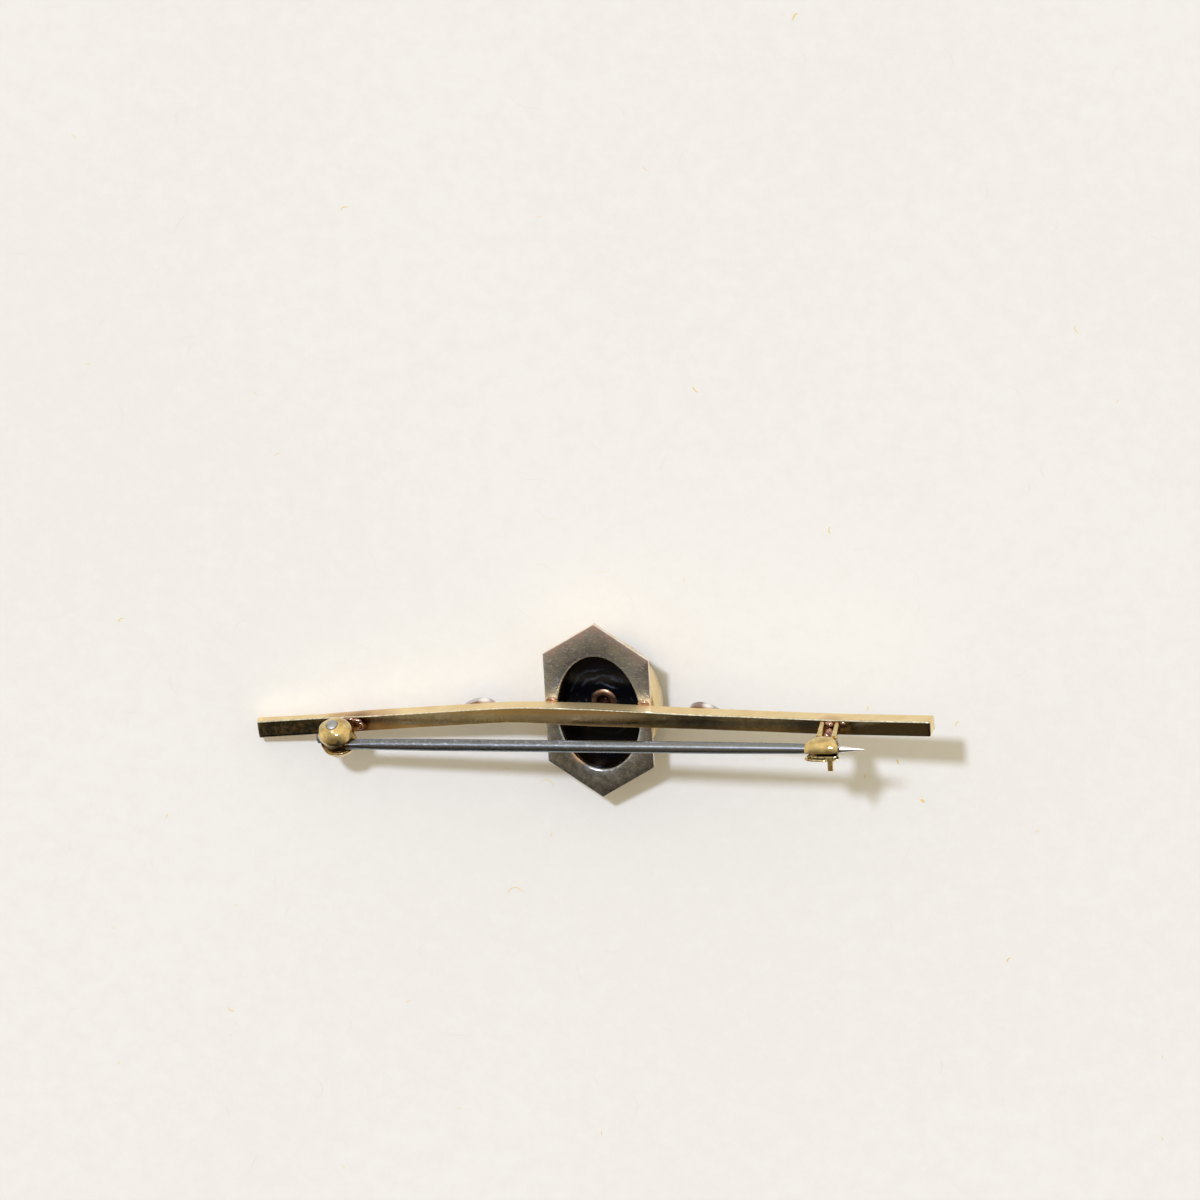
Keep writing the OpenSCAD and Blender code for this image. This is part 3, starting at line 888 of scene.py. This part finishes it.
def within_opening(p):
    """The bezel's inner wall behind the stone, painted dark as the shade of that recess."""
    across = p.x / (OPENING_W + 0.1) * 2
    upward = (p.y + OVAL_DROP) / (OPENING_H + 0.1) * 2
    return math.hypot(across, upward) < 1 and -ledge - 0.01 < p.z


make(
    "bezel",
    bezel_part,
    REST,
    "brooch",
    side_gold,
    ["frame"],
    others=(recess_shade_gold,),
    pick=within_opening,
)

stone_w = BEZEL_W - 2 * BEZEL_WALL - 2 * SET_GAP
stone_h = BEZEL_H - 2 * BEZEL_WALL - 2 * SET_GAP
hole_d = TUBE_D + 2 * SET_GAP
onyx_front = ONYX_BACK + ONYX_T
onyx_rings = [
    oval_ring(hole_d, hole_d, -ONYX_BACK, 0),
    oval_ring(stone_w - 0.1, stone_h - 0.1, -ONYX_BACK),
    oval_ring(stone_w, stone_h, -ONYX_BACK - 0.06),
    oval_ring(stone_w, stone_h, -onyx_front + 0.2),
    oval_ring(stone_w - 0.4, stone_h - 0.4, -onyx_front),
    oval_ring(hole_d, hole_d, -onyx_front, 0),
]
make("black_stone", loft(onyx_rings, closed=True), REST, "brooch", onyx_black, ["onyx"])


# The centre setting

# The crown, girdle and pavilion of the stone are shares of its diameter, as in the source
crown_h = 0.17 * CENTRE_STONE_D
girdle_h = 0.03 * CENTRE_STONE_D
pavilion_h = 0.4 * CENTRE_STONE_D
girdle_z = -(CENTRE_TABLE_DEPTH - crown_h)
cup_rim_z = girdle_z - crown_h / 3
cup_r = CENTRE_STONE_D / 2 + SET_GAP + 0.2
tube_back = -(ONYX_BACK - TUBE_RIM_T - SET_GAP)
tube_profile = [
    (TUBE_BORE / 2, tube_back - 0.08),
    (TUBE_BORE / 2 + 0.06, tube_back - 0.01),
    (TUBE_BORE / 2 + 0.16, tube_back),
    (TUBE_RIM_D / 2 - 0.12, tube_back - 0.02),
    (TUBE_RIM_D / 2, tube_back - 0.12),
    (TUBE_RIM_D / 2 - 0.03, tube_back - TUBE_RIM_T),
    (TUBE_D / 2, tube_back - TUBE_RIM_T),
    (TUBE_D / 2, -onyx_front - SET_GAP),
    (cup_r - 0.4, -onyx_front - SET_GAP),
    (cup_r - 0.08, -onyx_front - SET_GAP - 0.28),
    (cup_r, -onyx_front - SET_GAP - 0.36),
    (cup_r, cup_rim_z + 0.06),
    (cup_r - 0.06, cup_rim_z),
    (CENTRE_STONE_D / 2 + SET_GAP, cup_rim_z),
    (CENTRE_STONE_D / 2 + SET_GAP, girdle_z + girdle_h),
    (TUBE_BORE / 2, girdle_z + girdle_h + pavilion_h * 0.6),
    (0.1, girdle_z + girdle_h + pavilion_h * 0.85),
    (0.1, girdle_z + girdle_h + pavilion_h * 0.85 + 0.15),
    (TUBE_BORE / 2 - 0.03, girdle_z + girdle_h + pavilion_h * 0.85 + 0.3),
]


# The faces down the bore, which are painted as shade
def in_the_bore(p):
    return math.hypot(p.x, p.y) < TUBE_BORE / 2 + 0.03 and p.z < tube_back - 0.03


make(
    "centre_tube",
    turned(tube_profile),
    REST,
    "brooch",
    tube_copper,
    ["centre_collet"],
    others=(bore_shade_brown,),
    pick=in_the_bore,
)


# The leaf settings


def leaf_part(x, lean):
    """A leaf-shaped box with a soft rim and a round seat. Its widest place leans off its middle."""
    n = 72
    leaf_r = ((LEAF_LEN / 2) ** 2 + (LEAF_W / 2) ** 2) / LEAF_W
    drop = leaf_r - LEAF_W / 2

    def outline(inset, z):
        points = []
        for k in range(n):
            a = 2 * math.pi * k / n
            d = Vector((math.cos(a), math.sin(a)))
            side = abs(d.y)
            reach = -drop * side + math.sqrt((drop * side) ** 2 + leaf_r**2 - drop**2)
            p = d * max(0.05, reach - inset)
            points.append((p.x + lean * (1 - (2 * p.x / LEAF_LEN) ** 2), p.y, z))
        return points

    seat_r = SIDE_STONE_D / 2 + SET_GAP
    pavilion, girdle = 0.35 * SIDE_STONE_D, 0.05 * SIDE_STONE_D
    seat_z = -LEAF_D + pavilion + girdle + 2 * SET_GAP
    rings = [
        outline(0.08, 0.0),
        outline(0.0, -0.07),
        outline(0.0, -LEAF_D + 0.08),
        outline(0.07, -LEAF_D),
        circle(seat_r + 0.03, -LEAF_D, n),
        circle(seat_r, -LEAF_D + 0.03, n),
        circle(seat_r, seat_z, n),
    ]
    return moved(loft(rings), Matrix.Translation((x, bar_y(x), 0)))


make("left_leaf", leaf_part(LEFT_LEAF_X, 0.35), REST, "brooch", leaf_silver, ["frame"])
make("right_leaf", leaf_part(RIGHT_LEAF_X, -0.4), REST, "brooch", leaf_silver, ["frame"])

for name in ("centre_stone", "left_side_stone", "right_side_stone"):
    stone = frame["nodes"][name]
    stone.data.materials.clear()
    stone.data.materials.append(clear_stone)


# The ball joint


# How much longer the half domes are along the bar, and wider, how far off the rivet, and how dented
DOME_LONGER = 0.14
DOME_WIDER = 0.02
DOME_STEP = 0.12
DOME_DENT = 0.06

# The joint's foot from the bar up, as (height over the bar's back, half its length)
FOOT_ROWS = ((-0.1, 1.02), (0.08, 0.95), (0.3, 0.78), (0.7, 0.72), (1.3, 0.8))
FOOT_HALF_W = 0.62
FOOT_LEAN = 0.18


def dome_part(side):
    """One half dome: a turned cap with a flat inner face, a rounded rim and the rivet's hole."""
    hole = RIVET_D / 2 + SET_GAP
    rim = 0.1
    profile = [(hole, 0.0), (BALL_R - rim, 0.0), (BALL_R - 0.02, rim * 0.5)]
    first = math.degrees(math.asin(rim * 1.2 / BALL_R))
    last = math.degrees(math.acos(hole / BALL_R))
    for k in range(21):
        a = math.radians(first + (last - first) * k / 20)
        profile.append((BALL_R * math.cos(a), BALL_R * math.sin(a)))
    verts, faces = turned(profile, 96)
    shaped = []
    for v in verts:
        far = smoothstep(hole + 0.05, hole + 0.5, math.hypot(v.x, v.y))
        dent = 1 + DOME_DENT * far * noise.noise(v * 1.3 + Vector((side * 3.0, 5.0, 0)))
        longer, wider = 1 + DOME_LONGER * far, 1 + DOME_WIDER * far
        shaped.append(Vector((v.x * longer * dent + DOME_STEP * far, v.y * wider * dent, v.z * dent)))
    turn = Matrix.Translation((0, side * SLOT_W / 2, 0)) @ Matrix.Rotation(-side * math.pi / 2, 4, "X")
    return moved((shaped, faces), turn)


def by_the_slot(p):
    """The rims beside the pin's eye, down in the slot, painted brown as shade."""
    return abs(p.y) < SLOT_W / 2 + 0.2


for side, name in ((1, "near_dome"), (-1, "far_dome")):
    make(
        name,
        dome_part(side),
        RIVET,
        "brooch",
        finding_gold,
        ["frame"],
        others=(crevice_shade_gold,),
        pick=by_the_slot,
    )

rivet_half = SLOT_W / 2 + BALL_R + 0.05
rivet_profile = [
    (0.05, -rivet_half),
    (RIVET_D / 2 - 0.12, -rivet_half + 0.01),
    (RIVET_D / 2, -rivet_half + 0.1),
]
rivet_profile += [(r, -z) for r, z in reversed(rivet_profile)]
rivet_part = moved(turned(rivet_profile, 40, closed=False), Matrix.Rotation(math.pi / 2, 4, "X"))
make("rivet", rivet_part, RIVET, "brooch", rivet_steel, ["hinge_rivet"])

foot_x, foot_y = -JOINT_X, bar_y(-JOINT_X) - 0.1
foot_rings = []
for rise, r in FOOT_ROWS:
    half_w = min(r, FOOT_HALF_W)
    foot_rings.append(
        [
            (foot_x + r * math.cos(a), foot_y + half_w * math.sin(a) - FOOT_LEAN * rise, BAR_D + rise)
            for a in (2 * math.pi * k / 48 for k in range(48))
        ]
    )
make("joint_foot", loft(foot_rings), REST, "brooch", finding_gold, ["frame"])


# The pin


# The stem's radius, as (share of the way to the point, share of half the greatest diameter)
STEM_ROWS = (
    (0, 0.72),
    (0.02, 0.8),
    (0.05, 0.9),
    (0.16, 1.0),
    (0.72, 1.0),
    (0.86, 0.88),
    (0.94, 0.72),
    (0.951, 0.64),
    (0.971, 0.42),
    (0.985, 0.25),
    (0.996, 0.1),
    (1.0, 0.03),
)
FLAT_TO = 0.045
POINT_FROM = 0.9
EYE_R = 1.2
EYE_EDGE = 0.06
HEEL_LEN = 0.8
HEEL_H = 0.55
HEEL_X = -1.28


def stem_radius(t):
    for (t0, r0), (t1, r1) in zip(STEM_ROWS, STEM_ROWS[1:]):
        if t <= t1:
            return PIN_D / 2 * (r0 + (r1 - r0) * (t - t0) / (t1 - t0))
    return PIN_D / 2 * STEM_ROWS[-1][1]


def pin_part():
    """The turned steel stem, flattened where it leaves the joint, its flat eye and the eye's heel."""
    start = STEM_START - 0.5
    point_steps = [POINT_FROM + 0.1 * k / 24 for k in range(25)]
    coarse_steps = [POINT_FROM * (k / 8) for k in range(8)]
    steps = sorted({*(k / 110 for k in range(100)), *coarse_steps, *point_steps})
    rings = []
    for t in steps:
        r = stem_radius(t)
        flat = 1 - smoothstep(0.0, FLAT_TO, t)
        ring = []
        for k in range(28):
            a = 2 * math.pi * k / 28
            y, z = r * math.cos(a), r * math.sin(a)
            box_y = max(-1, min(1, math.cos(a) * 1.25)) * EYE_T / 2
            box_z = max(-1, min(1, math.sin(a) * 1.25)) * PIN_D * 0.4
            wave = 0.004 * noise.noise(Vector((t * 40, a, 1.0)))
            x = start + t * (PIN_LEN - start)
            ring.append((x, y + (box_y - y) * flat + wave, z + (box_z - z) * flat))
        rings.append(ring)
    stem = loft(rings)
    hole = RIVET_D / 2 + 0.05
    eye_profile = [
        (hole, -EYE_T / 2),
        (EYE_R - EYE_EDGE, -EYE_T / 2),
        (EYE_R, -EYE_T / 2 + EYE_EDGE),
        (EYE_R, EYE_T / 2 - EYE_EDGE),
        (EYE_R - EYE_EDGE, EYE_T / 2),
        (hole, EYE_T / 2),
    ]
    eye_place = Matrix.Translation((0, 0, -PIN_OFFSET)) @ Matrix.Rotation(math.pi / 2, 4, "X")
    heel_place = Matrix.Translation((HEEL_X, 0, -PIN_OFFSET + 0.12))
    heel = rounded_box(HEEL_LEN, EYE_T, HEEL_H, 0.12)
    return join(stem, moved(turned(eye_profile), eye_place), moved(heel, heel_place))


def in_the_slot(p):
    """The eye's own metal inside the ball joint, painted dark brown as the slot's shade, but not its heel.
    """
    return math.hypot(p.x, p.z + PIN_OFFSET) < 1.75 and p.x > -1.05


make(
    "pin",
    pin_part(),
    PIN,
    "pin",
    drawn_steel,
    ["pin_stem"],
    others=(eye_slot_shade_steel,),
    pick=in_the_slot,
)


# The catch


# How far the housing is cut back on its side by the bar, drawn in at its ends and slid along
HOUSING_CUT = 0.62
HOUSING_BULGE = 0.16
HOUSING_SKEW = 0.24


def tube_shell(r_out, r_in, half_len, mouth_half, slot=None, bulge=0.0, skew=0.0, across=84, along=28):
    """A C-shaped tube round X, open towards +Z. half_len gives its half length at an angle from +Z, which
    grows towards -Y. slot is (x from, x to, last angle) of a cut that opens into the mouth. bulge draws in
    the tube's ends, and skew slides its -Y side towards -X."""
    columns, angles = [], []
    for i in range(across + 1):
        a = mouth_half + (360 - 2 * mouth_half) * i / across
        angles.append(a)
        rad = math.radians(a)
        signed = a if a <= 180 else a - 360
        half = half_len(signed)
        column = []
        for j in range(along + 1):
            u = -1 + 2 * j / along
            x = half * u - skew * smoothstep(-40, 60, signed)
            outer = r_out * (1 - bulge * abs(u) ** 5)
            inner = min(r_in, outer - 0.12)
            column.append([(x, -reach * math.sin(rad), reach * math.cos(rad)) for reach in (outer, inner)])
        columns.append(column)

    def present(i, j):
        if slot is None:
            return True
        x = (columns[i][j][0][0] + columns[i][j + 1][0][0]) / 2
        return not (slot[0] < x < slot[1] and angles[i] < slot[2])

    return shell(columns, present)


def housing_half(a):
    """The housing is cut back on its side by the bar, so that it looks like a bun from above."""
    return HOUSING_LEN / 2 - HOUSING_CUT * smoothstep(60, 150, abs(a))


mouth_deg = math.degrees(math.asin(MOUTH_W / 2 / HOUSING_R))
slot_half = TAB_W / 2 + 0.1
housing = tube_shell(
    HOUSING_R,
    HOUSING_R - HOUSING_WALL,
    housing_half,
    mouth_deg,
    (TAB_X - slot_half, TAB_X + slot_half, TAB_LAST_ANGLE),
    bulge=HOUSING_BULGE,
    skew=HOUSING_SKEW,
)


def inner_wall(radius):
    """Picks 1 for the faces of a tube nearer its axis than a radius, which are painted shade, and 2 for
    its mouth's lips, which are painted with speckled shade.
    """

    def pick(p):
        if abs(p.x) > HOUSING_LEN / 2 + 0.2:
            return 0
        if abs(p.y) < MOUTH_W / 2 + 0.02 and p.z > 0:
            return 2
        return int(math.hypot(p.y, p.z) < radius)

    return pick


make(
    "catch_housing",
    housing,
    CATCH,
    "brooch",
    finding_gold,
    ["frame"],
    bevel=0.04,
    others=(crevice_shade_gold, lip_speckled_shade_gold),
    pick=inner_wall(HOUSING_R * (1 - HOUSING_BULGE) - 0.06),
)

sleeve_mouth_deg = math.degrees(math.asin((MOUTH_W - 0.1) / 2 / SLEEVE_R))
sleeve = tube_shell(
    SLEEVE_R, SLEEVE_R - SLEEVE_WALL, lambda a: SLEEVE_LEN / 2, sleeve_mouth_deg, across=56, along=8
)
tab_from = SLEEVE_R - SLEEVE_WALL + 0.06
tab_middle = Matrix.Translation((TAB_X, 0, (TAB_REACH + tab_from) / 2))
tab = moved(
    rounded_box(TAB_W, TAB_T, TAB_REACH - tab_from, 0.07),
    Matrix.Rotation(math.radians(TAB_ANGLE), 4, "X") @ tab_middle,
)
make(
    "catch_sleeve_ring",
    join(sleeve, tab),
    CATCH,
    "sleeve",
    finding_gold,
    ["catch_sleeve"],
    bevel=0.03,
    others=(crevice_shade_gold, lip_speckled_shade_gold),
    pick=inner_wall(SLEEVE_R - 0.02),
)


def strap_part(x):
    """A strap of the catch: from the bar's upper back edge over its back, and up under the housing."""
    # Each section as (step past the bar's middle line, height, half width, half depth)
    sections = (
        (0.56, BAR_D - 0.06, 0.27, 0.5),
        (0.5, BAR_D + 0.16, 0.23, 0.42),
        (0.42, BAR_D + 0.6, 0.21, 0.4),
        (0.3, BAR_D + 1.1, 0.23, 0.42),
        (0.05, STEM_Z - HOUSING_R * 0.8, 0.27, 0.5),
    )
    rings = []
    for k, (step, z, half_x, deep) in enumerate(sections):
        y = bar_y(x) + step
        ring = []
        for j in range(16):
            a = 2 * math.pi * j / 16
            px = max(-1, min(1, 1.2 * math.cos(a))) * half_x
            py = max(-1, min(1, 1.2 * math.sin(a))) * deep
            ring.append((x + px + 0.045 * k, y - deep + py, z))
        rings.append(ring)
    return loft(rings)


for side, name in ((-1, "left_strap"), (1, "right_strap")):
    strap = strap_part(LEGS_X + side * LEG_PITCH / 2)
    make(name, strap, REST, "brooch", finding_gold, ["frame"])


# Solder


def solder(name, material, lumps):
    """Run solder as lumps, each (middle, half sizes, seed)."""
    part = join(*(lump(c, r, seed) for c, r, seed in lumps))
    make(name, part, REST, "brooch", material, ["frame"])


solder_x = (PLAQUE_W + OPENING_W) / 4
left_y, right_y = bar_y(-solder_x), bar_y(solder_x)
solder(
    "plaque_solder",
    copper_solder,
    (
        ((-solder_x + 0.1, left_y + 0.82, 0.0), (0.52, 0.3, 0.17), 1),
        ((-solder_x, left_y - 0.8, 0.0), (0.45, 0.3, 0.16), 2),
        ((solder_x - 0.1, right_y + 0.82, 0.0), (0.5, 0.32, 0.19), 3),
        ((solder_x, right_y - 0.8, 0.0), (0.45, 0.3, 0.16), 4),
    ),
)
joint_x, joint_y = JOINT_POINT[:2]
solder(
    "joint_solder",
    dark_solder,
    (
        ((joint_x + 1.3, joint_y + 0.5, BAR_D), (0.42, 0.22, 0.16), 5),
        ((joint_x + 1.55, joint_y + 0.05, BAR_D), (0.3, 0.4, 0.16), 6),
        ((joint_x + 0.6, joint_y + 0.55, BAR_D), (0.5, 0.16, 0.12), 10),
    ),
)
legs_x, legs_y = CATCH_POINT[:2]
solder(
    "catch_solder",
    dark_solder,
    (
        ((legs_x, legs_y + 0.3, BAR_D + 0.05), (0.42, 0.28, 0.24), 7),
        ((legs_x + 0.08, legs_y - 0.1, BAR_D + 0.5), (0.42, 0.24, 0.4), 8),
        ((legs_x + 0.14, legs_y - 0.22, BAR_D + 1.05), (0.48, 0.26, 0.42), 11),
        ((legs_x + 1.15, legs_y + 0.42, BAR_D - 0.02), (0.26, 0.2, 0.13), 9),
    ),
)


# The paper


def paper_material():
    n = Nodes("paper")
    broad = n.ramp(n.noise(0.02, 3), 0.35, 0.65)
    close = n.ramp(n.noise(0.55, 5, roughness=0.7), 0.3, 0.7, -0.9, 0.9)
    tone = n.mix(n.math("ADD", broad, close), (0.905, 0.889, 0.854), (0.887, 0.868, 0.83))
    fibres = n.noise(0.9, 4, (1, 0.7, 1), 0.6)
    normal = n.bump(fibres, 0.2, 0.12)
    return n.shader(Base_Color=tone, Roughness=0.85, Normal=normal, Specular_IOR_Level=0.2)


def fibre_material(name, pale, strong):
    n = Nodes(name)
    tone = n.mix(n.ramp(n.noise(0.6, 2), 0.35, 0.65), pale, strong)
    return n.shader(Base_Color=tone, Roughness=0.9, Specular_IOR_Level=0.2)


def stage_piece(name, verts, faces, material):
    mesh = bpy.data.meshes.new(name)
    mesh.from_pydata(verts, [], faces)
    mesh.materials.append(material)
    piece = bpy.data.objects.new(name, mesh)
    bpy.context.scene.collection.objects.link(piece)


# The paper's radius in metres
FLOOR_R = 2.0
stage_piece("paper_floor", circle(FLOOR_R, 0, 64), [tuple(range(64))], paper_material())


def fibre(x, y, length, turn, bow, thick):
    """A flat curl of fibre pressed into the paper."""
    top, bottom = [], []
    for k in range(9):
        t = k / 8 - 0.5
        along, aside = t * length, bow * (0.25 - t * t) * length
        px = x + along * math.cos(turn) - aside * math.sin(turn)
        py = y + along * math.sin(turn) + aside * math.cos(turn)
        half = thick * (1 - (2 * t) ** 4) / 2 + 0.005
        nx, ny = -math.sin(turn) * half, math.cos(turn) * half
        top.append((px + nx, py + ny, 0.02))
        bottom.append((px - nx, py - ny, 0.02))
    verts = [Vector(v) * MM for v in top + bottom]
    return verts, [(k, k + 1, k + 10, k + 9) for k in range(8)]


def paper_fibres(name, material, rows):
    stage_piece(name, *join(*(fibre(*row) for row in rows)), material)


def random_rows(count, shortest, longest, thick):
    return tuple(
        (
            random.uniform(-50, 50),
            random.uniform(-44, 60),
            random.uniform(shortest, longest),
            random.uniform(0, 6.28),
            random.uniform(-1.5, 1.5),
            thick,
        )
        for _ in range(count)
    )


# The paper's clearest fibres as (x, y, length, turn, bow, thickness), in millimetres and radians
YELLOW_ROWS = (
    (18.3, 61.8, 0.90, 1.0, 0.8, 0.10),
    (8.8, 28.0, 0.70, 2.2, 0.6, 0.10),
    (27.6, -8.9, 0.42, -0.7, 0.3, 0.20),
    (25.5, -5.4, 0.50, -1.2, 0.4, 0.10),
    (-21.2, 43.6, 0.80, 0.4, 1.0, 0.07),
    (20.2, 15.5, 0.70, 1.6, 0.8, 0.07),
    (-8.0, -18.3, 1.60, 0.2, 1.6, 0.05),
    (23.1, -0.6, 0.50, 1.4, 0.4, 0.05),
    (30.8, -1.8, 0.60, 1.0, 0.6, 0.05),
    (22.7, -6.8, 0.50, 1.5, 0.4, 0.05),
    (-5.0, -8.3, 1.40, -0.3, 1.4, 0.05),
    (-41.7, 5.8, 0.70, 0.6, 1.0, 0.06),
    (42.0, 34.2, 0.80, 2.0, 1.0, 0.06),
    (-33.1, -29.4, 0.70, 2.6, 0.8, 0.06),
    (34.8, -23.2, 0.60, 0.9, 0.7, 0.07),
)
yellow_fibre = fibre_material("yellow_fibre", (0.90, 0.74, 0.30), (0.90, 0.62, 0.06))
paper_fibres("yellow_fibres", yellow_fibre, YELLOW_ROWS + random_rows(26, 0.2, 0.6, 0.03))
pale_fibre = fibre_material("pale_fibre", (0.86, 0.84, 0.78), (0.90, 0.83, 0.74))
paper_fibres("pale_fibres", pale_fibre, random_rows(70, 0.8, 2.6, 0.05))


# Light and camera

KEY_DIRECTION = Vector((-0.16, 0.52, 0.84))
key_data = bpy.data.lights.new("key", "SUN")
key_data.energy = 2.02
key_data.angle = math.radians(5)
key_data.color = (0.715, 0.80, 1.0)
key = bpy.data.objects.new("key", key_data)
key.rotation_mode = "QUATERNION"
key.rotation_quaternion = KEY_DIRECTION.to_track_quat("Z", "Y")
bpy.context.scene.collection.objects.link(key)


def set_world():
    """A dim room with a pale wall on the far side, pale ends and a faint light corner."""
    world = bpy.data.worlds.new("studio")
    world.use_nodes = True
    bpy.context.scene.world = world
    n = Nodes("studio", world.node_tree)
    coords = n.add("ShaderNodeTexCoord")

    def toward(direction, low, high, limited=True):
        way = Vector(direction).normalized()
        along = n.vector("DOT_PRODUCT", coords.outputs["Generated"], way).outputs["Value"]
        return n.ramp(along, low, high) if limited else along

    wall = n.math("POWER", toward((0.1, 0.87, 0.48), -0.3, 1.0), 2.0)
    colour = n.mix(wall, (0.04, 0.036, 0.03), (1.24, 1.12, 0.86))
    corner = toward((-0.35, -0.5, 0.79), 0.92, 0.98)
    colour = n.mix(corner, colour, (0.24, 0.185, 0.11))
    ends = n.math("POWER", n.math("ABSOLUTE", toward((1, 0, 0), 0, 1, False), 0.0), 4.0)
    colour = n.plus(colour, ends, (1.2, 1.08, 0.84))
    back = n.add("ShaderNodeBackground", {"Color": colour, "Strength": 1.0})
    out = n.add("ShaderNodeOutputWorld")
    n.tree.links.new(back.outputs[0], out.inputs[0])


set_world()
bpy.context.scene.view_settings.view_transform = "Standard"

camera_data = bpy.data.cameras.new("camera")
camera = bpy.data.objects.new("camera", camera_data)
bpy.context.scene.collection.objects.link(camera)
bpy.context.scene.camera = camera
toward_camera = Vector(
    (
        math.sin(VIEW_AZIMUTH) * math.cos(VIEW_ELEVATION),
        -math.cos(VIEW_AZIMUTH) * math.cos(VIEW_ELEVATION),
        math.sin(VIEW_ELEVATION),
    )
)
level_up = (Vector((0, 1, 0)) - toward_camera * toward_camera.y).normalized()
level_right = level_up.cross(toward_camera)
up = level_up * math.cos(VIEW_ROLL) + level_right * math.sin(VIEW_ROLL)
right = up.cross(toward_camera)
camera.matrix_world = Matrix.Translation(VIEW_CENTRE * MM + toward_camera * VIEW_DISTANCE) @ Matrix(
    (right, up, toward_camera)
).transposed().to_4x4()
camera_data.sensor_width = 36
camera_data.lens = 36 * VIEW_DISTANCE / (PHOTO_PX / PX_PER_MM * MM)
camera_data.clip_start = 0.5
camera_data.clip_end = 10
